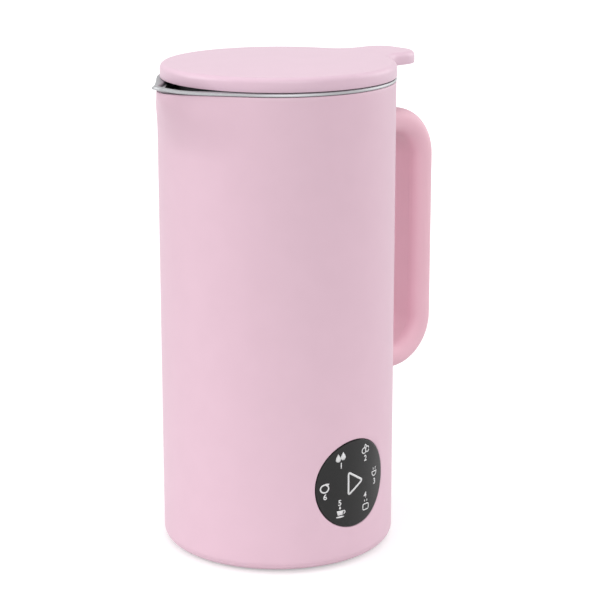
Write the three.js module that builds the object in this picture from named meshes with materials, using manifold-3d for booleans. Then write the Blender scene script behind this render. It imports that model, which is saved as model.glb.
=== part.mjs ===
// A one-litre soy milk maker: a round plastic body with a handle and a round touch panel, a steel jug with
// a pouring spout, a heater and a blade shaft in the jug's floor, a motor below it, and a lid that lifts off.
// Millimetres. Z is up along the body's axis, the handle points to +X, the spout to -X and the panel to -Y.
// Z is zero at the underside of the bottom cover. The feet stand a little below it.

import * as THREE from "three";
import { mergeVertices } from "three/addons/utils/BufferGeometryUtils.js";
import Module from "manifold-3d";

const wasm = await Module();
wasm.setup();

// Driving dimensions of the body
const bodyRadius = 59;
const shellHeight = 236.2;
const shellWall = 2.4;
const baseRounding = 4.4;

// Driving dimensions of the spout, which the body's upper end is drawn out into
const spoutReach = 13.2;
const spoutTipRadius = 7.2;
const spoutDrop = 42;
const spoutLipFlare = 2.2;
const spoutLipRise = 2;

// Driving dimensions of the steel jug
const jugGap = 4.1;
const jugSpoutGap = 0.6;
const jugWall = 1;
const jugCornerRadius = 8;
const jugCornerSteps = 3;
const jugRadius = bodyRadius - shellWall - jugGap;
const jugSpoutTipRadius = spoutTipRadius - shellWall - jugSpoutGap;
const rimHeight = 1.4;
const rimOverhang = 0.2;

// Driving dimensions of the lid
const lidInset = 0.6;
const lidRadius = bodyRadius - lidInset;
const lidShift = 1.2;
const lidHeight = 7;
const lidWall = 2.4;
const lidEdgeRounding = 2.7;
const tabOverhang = 26;
const tabReach = bodyRadius + tabOverhang;
const tabWidth = 33;
const tabCornerRadius = 12;
const tabFilletRadius = 14;

// Driving dimensions of the handle
const fingerGap = 27.3;
const handleDrop = 20.8;
const handleFootShare = 0.3222;
const handleThickness = 13.4;
const handleWidth = 24;
const handleCornerRadius = 26.5;
const handleEdgeRounding = 6.2;
const handleWall = 2.4;
const handleReach = bodyRadius + fingerGap + handleThickness;
const handleTop = shellHeight - handleDrop;
const handleBottom = shellHeight * handleFootShare;

// Driving dimensions of the touch panel and the power inlet
const panelRadius = 22.4;
const panelHeight = 41.9;
const inletHeight = 32;
const inletWidth = 27.4;
const inletTall = 22;

// Driving dimensions of the motor
const shaftRadius = 3;
const statorShare = 0.714;
const rotorShare = 0.5455;
const fanShare = 0.87;
const statorHeight = 26;
const fanHeight = 8;
const bearingRadius = 8;
const bearingHeight = 5;

// Driving dimensions of the base
const coverThickness = 2.4;
const footHeight = 1;
const footRadius = 6.5;
const postRadius = 4;
const coverBossRadius = 4.6;
const sideGap = 1;

// Clearances: pieces that bear on each other, pieces that turn past each other, and how far a cut runs over
const seatGap = 0.3;
const runGap = 0.5;
const overrun = 1;

// Numbers of flat sides on round pieces, and of steps in the curves of flat outlines and roundings
const wideSides = 40;
const mediumSides = 24;
const smallSides = 10;
const slotSides = 8;
const coverSteps = 10;
const shoeSteps = 8;
const curveSteps = 6;
const neckSteps = 5;
const roundingSteps = 4;
const nutHoleSteps = 3;
const mergeDistance = 1e-4;

const fullTurn = 2 * Math.PI;
const quarterTurn = Math.PI / 2;

// Solids and geometries

function toSolid(geometry) {
  const bare = new THREE.BufferGeometry();
  bare.setAttribute("position", geometry.getAttribute("position"));
  if (geometry.index) bare.setIndex(geometry.index);
  const merged = mergeVertices(bare, mergeDistance);
  const triVerts = new Uint32Array(merged.index.array);
  const vertProperties = merged.attributes.position.array;
  const solid = new wasm.Manifold(new wasm.Mesh({ numProp: 3, vertProperties, triVerts }));
  if (solid.volume() > 0) return solid;
  triVerts.reverse();
  return new wasm.Manifold(new wasm.Mesh({ numProp: 3, vertProperties, triVerts }));
}

function toGeometry(solid) {
  const mesh = solid.getMesh();
  const geometry = new THREE.BufferGeometry();
  geometry.setAttribute("position", new THREE.BufferAttribute(mesh.vertProperties, 3));
  geometry.setIndex(new THREE.BufferAttribute(mesh.triVerts, 1));
  return geometry;
}

function join(first, ...others) {
  return toGeometry(others.reduce((sum, other) => sum.add(toSolid(other)), toSolid(first)));
}

function cut(first, ...tools) {
  return toGeometry(tools.reduce((rest, tool) => rest.subtract(toSolid(tool)), toSolid(first)));
}

function common(first, second) {
  return toGeometry(toSolid(first).intersect(toSolid(second)));
}

// Shapes

// A profile of [radius, height] points turned about Z. It starts and ends on the axis.
function turned(profile, sides) {
  const points = profile.map(([radius, height]) => new THREE.Vector2(radius, height));
  return new THREE.LatheGeometry(points, sides).rotateX(quarterTurn);
}

// The same for a profile that closes on itself, clear of the axis
function turnedRing(profile, sides) {
  return turned([...profile, profile[0]], sides);
}

function disc(radius, low, high, sides) {
  return turned([[0, low], [radius, low], [radius, high], [0, high]], sides);
}

function tube(inner, outer, low, high, sides) {
  return turnedRing([[inner, low], [outer, low], [outer, high], [inner, high]], sides);
}

function block(x, y, z) {
  const box = new THREE.BoxGeometry(x[1] - x[0], y[1] - y[0], z[1] - z[0]);
  return box.translate((x[0] + x[1]) / 2, (y[0] + y[1]) / 2, (z[0] + z[1]) / 2);
}

// Two distances from the axis as a span on one side of it, -1 or 1
function spanOn(side, near, far) {
  return side > 0 ? [near, far] : [-far, -near];
}

// A flat outline raised from one height to another
function plate(shape, low, high, curveSegments = curveSteps) {
  const options = { depth: high - low, bevelEnabled: false, curveSegments };
  return new THREE.ExtrudeGeometry(shape, options).translate(0, 0, low);
}

// A piece of a ring between two radii and two angles, as a flat outline
function sector(inner, outer, from, to) {
  const shape = new THREE.Shape();
  shape.absarc(0, 0, outer, from, to, false);
  shape.absarc(0, 0, inner, to, from, true);
  shape.closePath();
  return shape;
}

// A solid through rings of points. Its two ends are capped, or the last ring joins the first.
function loft(rings, closed = false) {
  const count = rings[0].length;
  const points = rings.flat();
  const index = [];
  const spans = closed ? rings.length : rings.length - 1;
  for (let ring = 0; ring < spans; ring++) {
    const a = ring * count;
    const b = ((ring + 1) % rings.length) * count;
    for (let j = 0; j < count; j++) {
      const k = (j + 1) % count;
      index.push(a + j, a + k, b + k, a + j, b + k, b + j);
    }
  }
  if (!closed) {
    cap(points, index, 0, count, true);
    cap(points, index, (rings.length - 1) * count, count, false);
  }
  const geometry = new THREE.BufferGeometry();
  const numbers = points.flatMap((point) => [point.x, point.y, point.z]);
  geometry.setAttribute("position", new THREE.Float32BufferAttribute(numbers, 3));
  geometry.setIndex(index);
  return geometry;
}

function cap(points, index, start, count, first) {
  const centre = new THREE.Vector3();
  for (let j = 0; j < count; j++) centre.add(points[start + j]);
  const middle = points.push(centre.divideScalar(count)) - 1;
  for (let j = 0; j < count; j++) {
    const k = (j + 1) % count;
    if (first) index.push(middle, start + k, start + j);
    else index.push(middle, start + j, start + k);
  }
}

// Points on an arc of [across, up] about a centre
function arc(centre, radius, from, to, steps) {
  const points = [];
  for (let i = 0; i <= steps; i++) {
    const angle = from + ((to - from) * i) / steps;
    points.push([centre[0] + radius * Math.cos(angle), centre[1] + radius * Math.sin(angle)]);
  }
  return points;
}

// A hexagon's corner lies this share of its width across the flats from its centre
const cornerShare = 1 / Math.sqrt(3);
const hexagonSides = 6;

function hexagon(acrossFlats) {
  const shape = new THREE.Shape();
  const corner = acrossFlats * cornerShare;
  for (let i = 0; i < hexagonSides; i++) {
    const angle = (i * fullTurn) / hexagonSides;
    shape[i ? "lineTo" : "moveTo"](corner * Math.cos(angle), corner * Math.sin(angle));
  }
  return shape.closePath();
}

function roundHole(x, y, radius) {
  return new THREE.Path().absarc(x, y, radius, 0, fullTurn, true);
}

// Three angles a third of a turn apart
function threeFrom(first) {
  return [0, 1, 2].map((i) => first + (i * fullTurn) / 3);
}

// Places on a circle about the axis
function onCircle(radius, angle) {
  return [radius * Math.cos(angle), radius * Math.sin(angle)];
}

// Looks
function look(color, roughness, metalness = 0) {
  return new THREE.MeshStandardMaterial({ color, roughness, metalness });
}
const looks = {
  body: look(0xe6c0cf, 0.5),
  lid: look(0xeacbd9, 0.45),
  panel: look(0x333333, 0.35),
  steel: look(0xc4c6c8, 0.3, 1),
  darkPlastic: look(0x3b3b3e, 0.6),
  whitePlastic: look(0xe8e6e0, 0.6),
  silicone: look(0x55555a, 0.8),
  iron: look(0x6d6f73, 0.5, 1),
  copper: look(0xb87343, 0.4, 1),
  brass: look(0xc8a45a, 0.35, 1),
  aluminium: look(0xb9bcc0, 0.45, 1),
  board: look(0x2c6b3f, 0.6),
  carbon: look(0x2a2a2a, 0.9),
};

const soyMilkMaker = new THREE.Group();
function piece(name, geometry, material) {
  const mesh = new THREE.Mesh(toGeometry(toSolid(geometry)), material);
  mesh.name = name;
  soyMilkMaker.add(mesh);
  return mesh;
}

// The spout's outline, seen from above

const spoutCentre = bodyRadius + spoutReach - spoutTipRadius;
const spoutSpanShare = 0.122;
const spoutSpan = fullTurn * spoutSpanShare;
const spoutSteps = 7;
const roundSteps = 28;
const ringAngles = [];
for (let i = 0; i <= roundSteps; i++) {
  ringAngles.push((2 * i / roundSteps - 1) * (Math.PI - spoutSpan));
}
// Across the spout the steps are finest at its small tip
for (let i = 1 - spoutSteps; i < spoutSteps; i++) {
  const share = i / spoutSteps;
  ringAngles.push(Math.PI + spoutSpan * share * Math.abs(share));
}

// Distance from the axis to the hull of a round body and a smaller round tip, at an angle away from the tip
function hullRadius(round, tip, away) {
  const lean = Math.acos((round - tip) / spoutCentre);
  if (away >= lean) return round;
  const corner = Math.atan2(tip * Math.sin(lean), spoutCentre + tip * Math.cos(lean));
  if (away >= corner) return round / Math.cos(lean - away);
  return spoutCentre * Math.cos(away) + Math.sqrt(tip ** 2 - (spoutCentre * Math.sin(away)) ** 2);
}

// How far the spout is drawn out at a height: nothing below it, all of it at the shell's upper edge
function drawn(height) {
  return THREE.MathUtils.smoothstep(height, shellHeight - spoutDrop, shellHeight);
}

function awayFromSpout(angle) {
  return Math.PI - Math.abs(angle > Math.PI ? fullTurn - angle : angle);
}

// A ring about the axis, from functions of the angle away from the spout
function ring(radiusAt, heightAt) {
  return ringAngles.map((angle) => {
    const away = awayFromSpout(angle);
    const [x, y] = onCircle(radiusAt(away), angle);
    return new THREE.Vector3(x, y, heightAt(away));
  });
}

function levelRing(round, tip, height, share = drawn(height)) {
  return ring((away) => round + share * (hullRadius(round, tip, away) - round), () => height);
}

const spoutLevelShares = [1, 0.75, 0.5, 0.25, 0];
const spoutLevels = spoutLevelShares.map((share) => shellHeight - spoutDrop * share);

// Outer shell, open at both ends, with a ledge at the bottom that the bottom cover bears on

const coverRadius = bodyRadius - baseRounding - shellWall;
const ledgeWidth = 2;
const ledgeHeight = 2.4;
const shellInner = bodyRadius - shellWall;
const ledgeBottom = coverThickness + seatGap;
const ledgeTop = ledgeBottom + ledgeHeight;
const ledgeRadius = coverRadius - ledgeWidth;

// Circles that the posts, the studs, the rubber mounts and the motor stand on, each inside the one before it
const mountFlangeRadius = 5;
const mountInset = 1.5;
const nutFlats = 7;
const studInset = 3;
const postCircle = ledgeRadius - coverBossRadius - sideGap;
const upperBracketRadius = postCircle - postRadius - 2 * sideGap;
const mountCircle = upperBracketRadius - mountFlangeRadius - mountInset;
const statorRadius = upperBracketRadius * statorShare;
const rotorRadius = statorRadius * rotorShare;
const fanRadius = statorRadius * fanShare;
const carrierRadius = ledgeRadius - sideGap;
const studCircle = carrierRadius - nutFlats / 2 - studInset - seatGap;

const inletFrontX = Math.sqrt(bodyRadius ** 2 - (inletWidth / 2) ** 2) - seatGap;

// A round patch of a wall that is bent round the axis: a circle laid on the cylinder of the body
const patchShares = [0.3, 0.65, 1];
function patch(radius, outerRadius, innerRadius) {
  const circle = (wallRadius, share) =>
    Array.from({ length: mediumSides }, (_, i) => {
      const angle = (i * fullTurn) / mediumSides;
      const turn = (share * radius * Math.cos(angle)) / bodyRadius;
      const height = panelHeight + share * radius * Math.sin(angle);
      return new THREE.Vector3(wallRadius * Math.sin(turn), -wallRadius * Math.cos(turn), height);
    });
  return loft([
    ...patchShares.map((share) => circle(outerRadius, share)),
    ...patchShares.map((share) => circle(innerRadius, share)).reverse(),
  ]);
}

const handleScrewRadius = 2;
const handleArms = [
  { height: handleTop - handleThickness / 2, outward: 1 },
  { height: handleBottom + handleThickness / 2, outward: -1 },
];

function rodAlongX(radius, from, to, y, z, sides) {
  return disc(radius, from, to, sides).rotateY(quarterTurn).translate(0, y, z);
}

function outerShell() {
  const tipInner = spoutTipRadius - shellWall;
  const rounding = arc([bodyRadius - baseRounding, baseRounding], baseRounding,
    -quarterTurn, 0, roundingSteps);
  const walls = loft([
    ...rounding.map(([radius, height]) => levelRing(radius, spoutTipRadius, height)),
    ...spoutLevels.map((height) => levelRing(bodyRadius, spoutTipRadius, height)),
    ...spoutLevels.map((height) => levelRing(shellInner, tipInner, height)).reverse(),
    levelRing(shellInner, tipInner, ledgeTop),
    levelRing(ledgeRadius, tipInner, ledgeTop),
    levelRing(ledgeRadius, tipInner, ledgeBottom),
    levelRing(coverRadius + seatGap, tipInner, ledgeBottom),
    levelRing(coverRadius + seatGap, tipInner, 0),
  ], true);
  const panelWindow = patch(panelRadius + seatGap, bodyRadius + overrun, shellInner - overrun);
  const halfWidth = inletWidth / 2 + seatGap;
  const halfTall = inletTall / 2 + seatGap;
  const inletWindow = block([bodyRadius / 2, bodyRadius + overrun], [-halfWidth, halfWidth],
    [inletHeight - halfTall, inletHeight + halfTall]);
  const screwHoles = handleArms.map(({ height }) =>
    rodAlongX(handleScrewRadius + seatGap, bodyRadius / 2, bodyRadius + overrun, 0, height, smallSides));
  return cut(walls, panelWindow, inletWindow, ...screwHoles);
}
piece("outer_shell", outerShell(), looks.body);

// Stack of heights below the jug, from the bottom cover up. Each piece stands on the one before it.

const fanGap = 4;
const fanZ = coverThickness + fanGap;
const fanTop = fanZ + fanHeight;
const bracketThickness = 3;
const lowerBracketZ = fanTop + runGap + overrun;
const bearingWeb = 1.2;
const lowerBearingZ = lowerBracketZ + bearingWeb + seatGap;
const commutatorHeight = 9;
const commutatorZ = lowerBearingZ + bearingHeight + 2 * runGap;
const windingHeight = 6;
const lowerWindingZ = commutatorZ + commutatorHeight + runGap;
const statorZ = lowerWindingZ + windingHeight;
const statorTop = statorZ + statorHeight;
const windingTop = statorTop + windingHeight;
const upperBearingZ = windingTop + 2 * runGap;
const upperBracketTop = upperBearingZ + bearingHeight + bearingWeb + seatGap;
const upperBracketZ = upperBracketTop - bracketThickness;
const mountHeight = 4.4;
const carrierZ = upperBracketTop + mountHeight + 2 * seatGap;
const carrierThickness = 2.5;
const carrierTop = carrierZ + carrierThickness;
const heaterClearance = 3.5;
const heaterTubeRadius = 3.3;
const heaterTubeZ = carrierTop + heaterClearance + heaterTubeRadius;
const heaterPlateThickness = 3.5;
const heaterPlateZ = heaterTubeZ + heaterTubeRadius + seatGap;
const jugBottom = heaterPlateZ + heaterPlateThickness + seatGap;
const jugFloor = jugBottom + jugWall;

// Inner jug: a steel cup whose rim lies on the shell and flares out into the spout's lip

const rimZ = shellHeight + seatGap;
const rimTop = rimZ + rimHeight;
const seatNeckRadius = 8.6;
const studRadius = 2;
const studAngles = threeFrom(fullTurn / 12);
const postAngles = threeFrom(quarterTurn);
const nutHeight = 2.4;
const rimRounding = 0.6;
const rimLipWidth = 2;

// How much of the spout there is at an angle, from nothing on the round body to one at its tip
function spoutShare(away) {
  return (hullRadius(bodyRadius, spoutTipRadius, away) - bodyRadius) / spoutReach;
}

// How far the lip rises at an angle: nearly all of it close to the tip
function lipRise(away) {
  return spoutLipRise * spoutShare(away) ** 2;
}

function rimRing(inset, height) {
  const round = bodyRadius + rimOverhang - inset;
  const tip = spoutTipRadius + rimOverhang - inset;
  const reach = (away) => hullRadius(round, tip, away) + spoutLipFlare * spoutShare(away);
  return ring(reach, (away) => height + lipRise(away));
}

// The inner edge of the rim's flat top: close to the jug's wall on the round body, a narrow lip at the spout
function rimInnerRing(height) {
  const wall = (away) => hullRadius(jugRadius, jugSpoutTipRadius, away);
  const lip = (away) =>
    hullRadius(bodyRadius, spoutTipRadius, away) + spoutLipFlare * spoutShare(away) - rimLipWidth;
  const mixed = (away) => THREE.MathUtils.lerp(wall(away), lip(away), spoutShare(away));
  return ring(mixed, (away) => height + lipRise(away));
}

function innerJug() {
  const tip = jugSpoutTipRadius;
  const outerCorner = arc([jugRadius - jugCornerRadius, jugBottom + jugCornerRadius],
    jugCornerRadius, -quarterTurn, 0, jugCornerSteps);
  const innerRadius = jugRadius - jugWall;
  const innerCornerRadius = jugCornerRadius - jugWall;
  const innerCorner = arc([innerRadius - innerCornerRadius, jugFloor + innerCornerRadius],
    innerCornerRadius, 0, -quarterTurn, jugCornerSteps);
  const cup = loft([
    ...outerCorner.map(([radius, height]) => levelRing(radius, tip, height, 0)),
    ...spoutLevels.map((height) => levelRing(jugRadius, tip, height)),
    levelRing(jugRadius, tip, rimZ, 1),
    rimRing(0, rimZ),
    rimRing(0, rimTop - rimRounding),
    rimRing(rimRounding, rimTop),
    rimInnerRing(rimTop),
    levelRing(innerRadius, tip - jugWall, rimZ, 1),
    ...spoutLevels.slice(0, -1).map((height) => levelRing(innerRadius, tip - jugWall, height)).reverse(),
    ...innerCorner.map(([radius, height]) => levelRing(radius, tip, height, 0)),
  ]);
  const studBottom = carrierZ - nutHeight - 2 * seatGap;
  const studs = studAngles.map((angle) => {
    const [x, y] = onCircle(studCircle, angle);
    return disc(studRadius, studBottom, jugBottom + jugWall / 2, smallSides).translate(x, y, 0);
  });
  const hole = disc(seatNeckRadius + seatGap, jugBottom - overrun, jugFloor + overrun, mediumSides);
  return cut(join(cup, ...studs), hole);
}
piece("inner_jug", innerJug(), looks.steel);

// Blade seat: a steel bushing in the jug's floor, drawn down by a nut, with the shaft's seal and bush in it

const seatFlangeRadius = 15;
const seatFlangeHeight = 2.5;
const seatBossRadius = 9.5;
const seatBossHeight = 5.5;
const seatWall = 2.3;
const seatNeckLength = 8;
const seatZ = jugFloor + seatGap;
const seatShoulderZ = seatZ + seatFlangeHeight;
const seatTop = seatShoulderZ + seatBossHeight;
const seatNeckZ = jugBottom - seatNeckLength;
const sealPocketRadius = seatBossRadius - seatWall;
const bushWall = 2.2;
const bushPocketRadius = shaftRadius + bushWall + 2 * seatGap;
const seatEdge = 0.8;

piece("blade_seat", turnedRing([
  [bushPocketRadius, seatNeckZ],
  [seatNeckRadius, seatNeckZ],
  [seatNeckRadius, seatZ],
  [seatFlangeRadius, seatZ],
  [seatFlangeRadius, seatShoulderZ - seatEdge],
  [seatFlangeRadius - seatEdge, seatShoulderZ],
  [seatBossRadius, seatShoulderZ],
  [seatBossRadius, seatTop - seatEdge],
  [seatBossRadius - seatEdge, seatTop],
  [sealPocketRadius, seatTop],
  [sealPocketRadius, seatShoulderZ],
  [bushPocketRadius, seatShoulderZ],
], mediumSides), looks.steel);

const seatNutHeight = 5;
const seatNutFlats = 23;
const seatNut = hexagon(seatNutFlats);
seatNut.holes.push(roundHole(0, 0, seatNeckRadius + seatGap));
const seatNutTop = jugBottom - seatGap;
piece("seat_nut", plate(seatNut, seatNutTop - seatNutHeight, seatNutTop), looks.brass);

piece("shaft_seal", tube(shaftRadius + seatGap, sealPocketRadius - seatGap,
  seatShoulderZ + seatGap, seatTop - seatGap, mediumSides), looks.silicone);
piece("seat_bush", tube(shaftRadius + seatGap, bushPocketRadius - seatGap,
  seatNeckZ, seatShoulderZ - seatGap, mediumSides), looks.brass);

// Heater: an aluminium plate under the jug's floor with a ring-shaped heating tube against it

const heaterPlateRadius = studCircle - studRadius - studInset;
const heaterHoleRadius = seatNutFlats * cornerShare + 2 * seatGap;
const heaterRingInset = 8;
const heaterRingRadius = heaterPlateRadius - heaterRingInset;
const heaterTubeSides = 10;
const heaterSteps = 22;
const thermostatRadius = 5;
const thermostatHeight = 6;
const probeRadius = 2.5;

// The thermostat and the probe stand side by side on the heater ring's circle, between the ring's two ends
function turnOver(distance) {
  return 2 * Math.asin(distance / (2 * heaterRingRadius));
}
const sensorTurn = turnOver((thermostatRadius + probeRadius + 2 * sideGap) / 2);
const heaterFrom = sensorTurn + turnOver(probeRadius + heaterTubeRadius + 2 * sideGap);
const heaterTo = fullTurn - sensorTurn - turnOver(thermostatRadius + heaterTubeRadius + 2 * sideGap);
piece("heater_plate", tube(heaterHoleRadius, heaterPlateRadius,
  heaterPlateZ, heaterPlateZ + heaterPlateThickness, mediumSides), looks.aluminium);

function heaterTube() {
  const rings = [];
  for (let i = 0; i <= heaterSteps; i++) {
    const angle = heaterFrom + ((heaterTo - heaterFrom) * i) / heaterSteps;
    rings.push(arc([0, 0], heaterTubeRadius, 0, fullTurn, heaterTubeSides).slice(1).map(([across, up]) => {
      const [x, y] = onCircle(heaterRingRadius + across, angle);
      return new THREE.Vector3(x, y, heaterTubeZ + up);
    }));
  }
  return loft(rings);
}
piece("heater_tube", heaterTube(), looks.aluminium);

// Thermostat and temperature probe, both held up against the heater plate

const sensorTop = heaterPlateZ - seatGap;
const thermostat = disc(thermostatRadius, sensorTop - thermostatHeight, sensorTop, smallSides);
const probe = disc(probeRadius, sensorTop - thermostatHeight, sensorTop, smallSides);
piece("thermostat", thermostat.translate(...onCircle(heaterRingRadius, -sensorTurn), 0), looks.darkPlastic);
piece("temperature_probe", probe.translate(...onCircle(heaterRingRadius, sensorTurn), 0), looks.steel);

// Motor carrier: a plastic plate bolted to the jug's studs, with three posts down to the bottom cover

const carrierHoleRadius = 13;
const coverBossHeight = 2.6;
const coverBossTop = coverThickness + coverBossHeight;
const postBottom = coverBossTop + seatGap;
const coverScrewRadius = 1.5;
const coverScrewLength = 14;
const mountNeckRadius = 2.6;
const mountFlangeHeight = 1.5;
const mountAngles = studAngles;

function motorCarrier() {
  const outline = new THREE.Shape().absarc(0, 0, carrierRadius, 0, fullTurn, false);
  outline.holes.push(roundHole(0, 0, carrierHoleRadius));
  studAngles.forEach((angle) =>
    outline.holes.push(roundHole(...onCircle(studCircle, angle), studRadius + seatGap)));
  mountAngles.forEach((angle) =>
    outline.holes.push(roundHole(...onCircle(mountCircle, angle), mountNeckRadius + seatGap)));
  const posts = postAngles.map((angle) => {
    const [x, y] = onCircle(postCircle, angle);
    return disc(postRadius, postBottom, carrierZ + carrierThickness / 2, smallSides).translate(x, y, 0);
  });
  const bores = postAngles.map((angle) => {
    const [x, y] = onCircle(postCircle, angle);
    return disc(coverScrewRadius + seatGap, postBottom - overrun, postBottom + coverScrewLength, smallSides)
      .translate(x, y, 0);
  });
  return cut(join(plate(outline, carrierZ, carrierTop), ...posts), ...bores);
}
piece("motor_carrier", motorCarrier(), looks.whitePlastic);

const nutShape = hexagon(nutFlats);
nutShape.holes.push(roundHole(0, 0, studRadius + seatGap));
studAngles.forEach((angle, i) => {
  const [x, y] = onCircle(studCircle, angle);
  const nut = plate(nutShape, carrierZ - seatGap - nutHeight, carrierZ - seatGap, nutHoleSteps);
  piece("jug_nut_" + (i + 1), nut.translate(x, y, 0), looks.steel);
});

// Rubber mounts: bobbins that hang the motor's upper bracket below the carrier

mountAngles.forEach((angle, i) => {
  const [x, y] = onCircle(mountCircle, angle);
  const bobbin = turned([
    [0, upperBracketZ - seatGap - mountFlangeHeight],
    [mountFlangeRadius, upperBracketZ - seatGap - mountFlangeHeight],
    [mountFlangeRadius, upperBracketZ - seatGap],
    [mountNeckRadius, upperBracketZ - seatGap],
    [mountNeckRadius, upperBracketTop + seatGap],
    [mountFlangeRadius, upperBracketTop + seatGap],
    [mountFlangeRadius, carrierZ - seatGap],
    [mountNeckRadius, carrierZ - seatGap],
    [mountNeckRadius, carrierTop + seatGap],
    [mountFlangeRadius, carrierTop + seatGap],
    [mountFlangeRadius, carrierTop + seatGap + mountFlangeHeight],
    [0, carrierTop + seatGap + mountFlangeHeight],
  ], smallSides);
  piece("motor_mount_" + (i + 1), bobbin.translate(x, y, 0), looks.silicone);
});

// Motor brackets: an upper plate and a lower cross, each with a cup for its bearing

const cupWall = 2.4;
const cupRadius = bearingRadius + seatGap + cupWall;
const webHoleRadius = shaftRadius + 2 * runGap;
const earRadius = 3.8;
const earSetback = 1.5;
const earCircle = statorRadius + earSetback;
const motorScrewRadius = 1.8;
const lowerRingWidth = 3;
const armWidth = 9;
const bracketVentShare = 0.6;
const bracketVentCircle = mountCircle * bracketVentShare;
const bracketVentRadius = 4.5;

function upperBracket() {
  const outline = new THREE.Shape().absarc(0, 0, upperBracketRadius, 0, fullTurn, false);
  mountAngles.forEach((angle) =>
    outline.holes.push(roundHole(...onCircle(mountCircle, angle), mountNeckRadius + seatGap)));
  [-earCircle, earCircle].forEach((x) => outline.holes.push(roundHole(x, 0, motorScrewRadius + seatGap)));
  [...mountAngles, ...postAngles].forEach((angle) =>
    outline.holes.push(roundHole(...onCircle(bracketVentCircle, angle), bracketVentRadius)));
  const cup = disc(cupRadius, upperBearingZ, upperBracketTop, mediumSides);
  const pocketTop = upperBearingZ + bearingHeight + seatGap;
  const pocket = disc(bearingRadius + seatGap, upperBearingZ - overrun, pocketTop, mediumSides);
  const webHole = disc(webHoleRadius, upperBearingZ, upperBracketTop + overrun, smallSides);
  return cut(join(plate(outline, upperBracketZ, upperBracketTop), cup), pocket, webHole);
}
piece("upper_bracket", upperBracket(), looks.aluminium);

// Brushes ride on the commutator at its two sides, each in a channel on the lower bracket's arm
const commutatorShare = 0.633;
const commutatorRadius = rotorRadius * commutatorShare;
const brushGap = 0.4;
const brushWidth = 5;
const brushTall = 4;
const brushSetback = 2.6;
const brushStart = commutatorRadius + brushGap;
const brushEnd = statorRadius - lowerRingWidth - brushSetback;
const channelWall = 1.2;
const channelSetback = 2;
const brushZ = commutatorZ + commutatorHeight / 2;

function onBothSides(makeGeometry) {
  return [-earCircle, earCircle].map((x) => makeGeometry().translate(x, 0, 0));
}

function motorEars(low, high) {
  return onBothSides(() => disc(earRadius, low, high, smallSides));
}

function motorScrewHoles(low, high) {
  return onBothSides(() => disc(motorScrewRadius + seatGap, low, high, smallSides));
}

function lowerBracket() {
  const ringInner = statorRadius - lowerRingWidth;
  const armTop = lowerBracketZ + bracketThickness;
  const ringPart = tube(ringInner, statorRadius, lowerBracketZ, armTop, mediumSides);
  const cup = disc(cupRadius, lowerBracketZ, lowerBearingZ + bearingHeight, mediumSides);
  const reach = statorRadius - lowerRingWidth / 2;
  const half = armWidth / 2;
  const arms = [
    block([-reach, reach], [-half, half], [lowerBracketZ, armTop]),
    block([-half, half], [-reach, reach], [lowerBracketZ, armTop]),
  ];
  const halfTall = brushTall / 2 + seatGap;
  const halfWide = brushWidth / 2 + seatGap;
  const channelStart = cupRadius + channelSetback;
  const holderTop = brushZ + halfTall + channelWall;
  const holders = [-1, 1].map((side) =>
    block(spanOn(side, channelStart, reach), [-half, half], [lowerBracketZ, holderTop]));
  const channels = [-1, 1].map((side) =>
    block(spanOn(side, channelStart - overrun, reach + ringInner), [-halfWide, halfWide],
      [brushZ - halfTall, brushZ + halfTall]));
  const ears = motorEars(lowerBracketZ, armTop);
  const screwHoles = motorScrewHoles(lowerBracketZ - overrun, armTop + overrun);
  const pocket = disc(bearingRadius + seatGap, lowerBearingZ - seatGap,
    lowerBearingZ + bearingHeight + overrun, mediumSides);
  const webHole = disc(webHoleRadius, lowerBracketZ - overrun, lowerBearingZ, smallSides);
  return cut(join(ringPart, cup, ...arms, ...holders, ...ears), pocket, webHole, ...channels, ...screwHoles);
}
piece("lower_bracket", lowerBracket(), looks.darkPlastic);

const sideNames = ["left", "right"];
[-1, 1].forEach((side, i) => {
  const brush = block(spanOn(side, brushStart, brushEnd), [-brushWidth / 2, brushWidth / 2],
    [brushZ - brushTall / 2, brushZ + brushTall / 2]);
  piece("brush_" + sideNames[i], brush, looks.carbon);
});

[["lower_bearing", lowerBearingZ], ["upper_bearing", upperBearingZ]].forEach(([name, low]) => {
  piece(name, tube(shaftRadius + seatGap, bearingRadius, low, low + bearingHeight, mediumSides), looks.steel);
});

// Stator: an iron ring with two poles, one towards the panel and one away from it, and a coil round each

const yokeShare = 0.11;
const shoeShare = 0.08;
const yokeWidth = statorRadius * yokeShare;
const shoeThickness = statorRadius * shoeShare;
const shoeSpanShare = 0.644;
const neckSpanShare = 0.367;
const shoeHalfAngle = quarterTurn * shoeSpanShare;
const neckHalfAngle = quarterTurn * neckSpanShare;
const shoeInner = rotorRadius + runGap;
const coilGap = 0.4;
const coilRise = 4.5;
const yokeInner = statorRadius - yokeWidth;
const shoeOuter = shoeInner + shoeThickness;

function statorCore() {
  const yoke = tube(yokeInner, statorRadius, statorZ, statorTop, wideSides);
  const poles = [quarterTurn, -quarterTurn].flatMap((middle) => [
    plate(sector(shoeInner, shoeOuter, middle - shoeHalfAngle, middle + shoeHalfAngle),
      statorZ, statorTop, shoeSteps),
    plate(sector((shoeInner + shoeOuter) / 2, yokeInner + yokeWidth / 2,
      middle - neckHalfAngle, middle + neckHalfAngle), statorZ, statorTop, neckSteps),
  ]);
  const holes = motorScrewHoles(statorZ - overrun, statorTop + overrun);
  return cut(join(yoke, ...poles, ...motorEars(statorZ, statorTop)), ...holes);
}
piece("stator_core", statorCore(), looks.iron);

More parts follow.
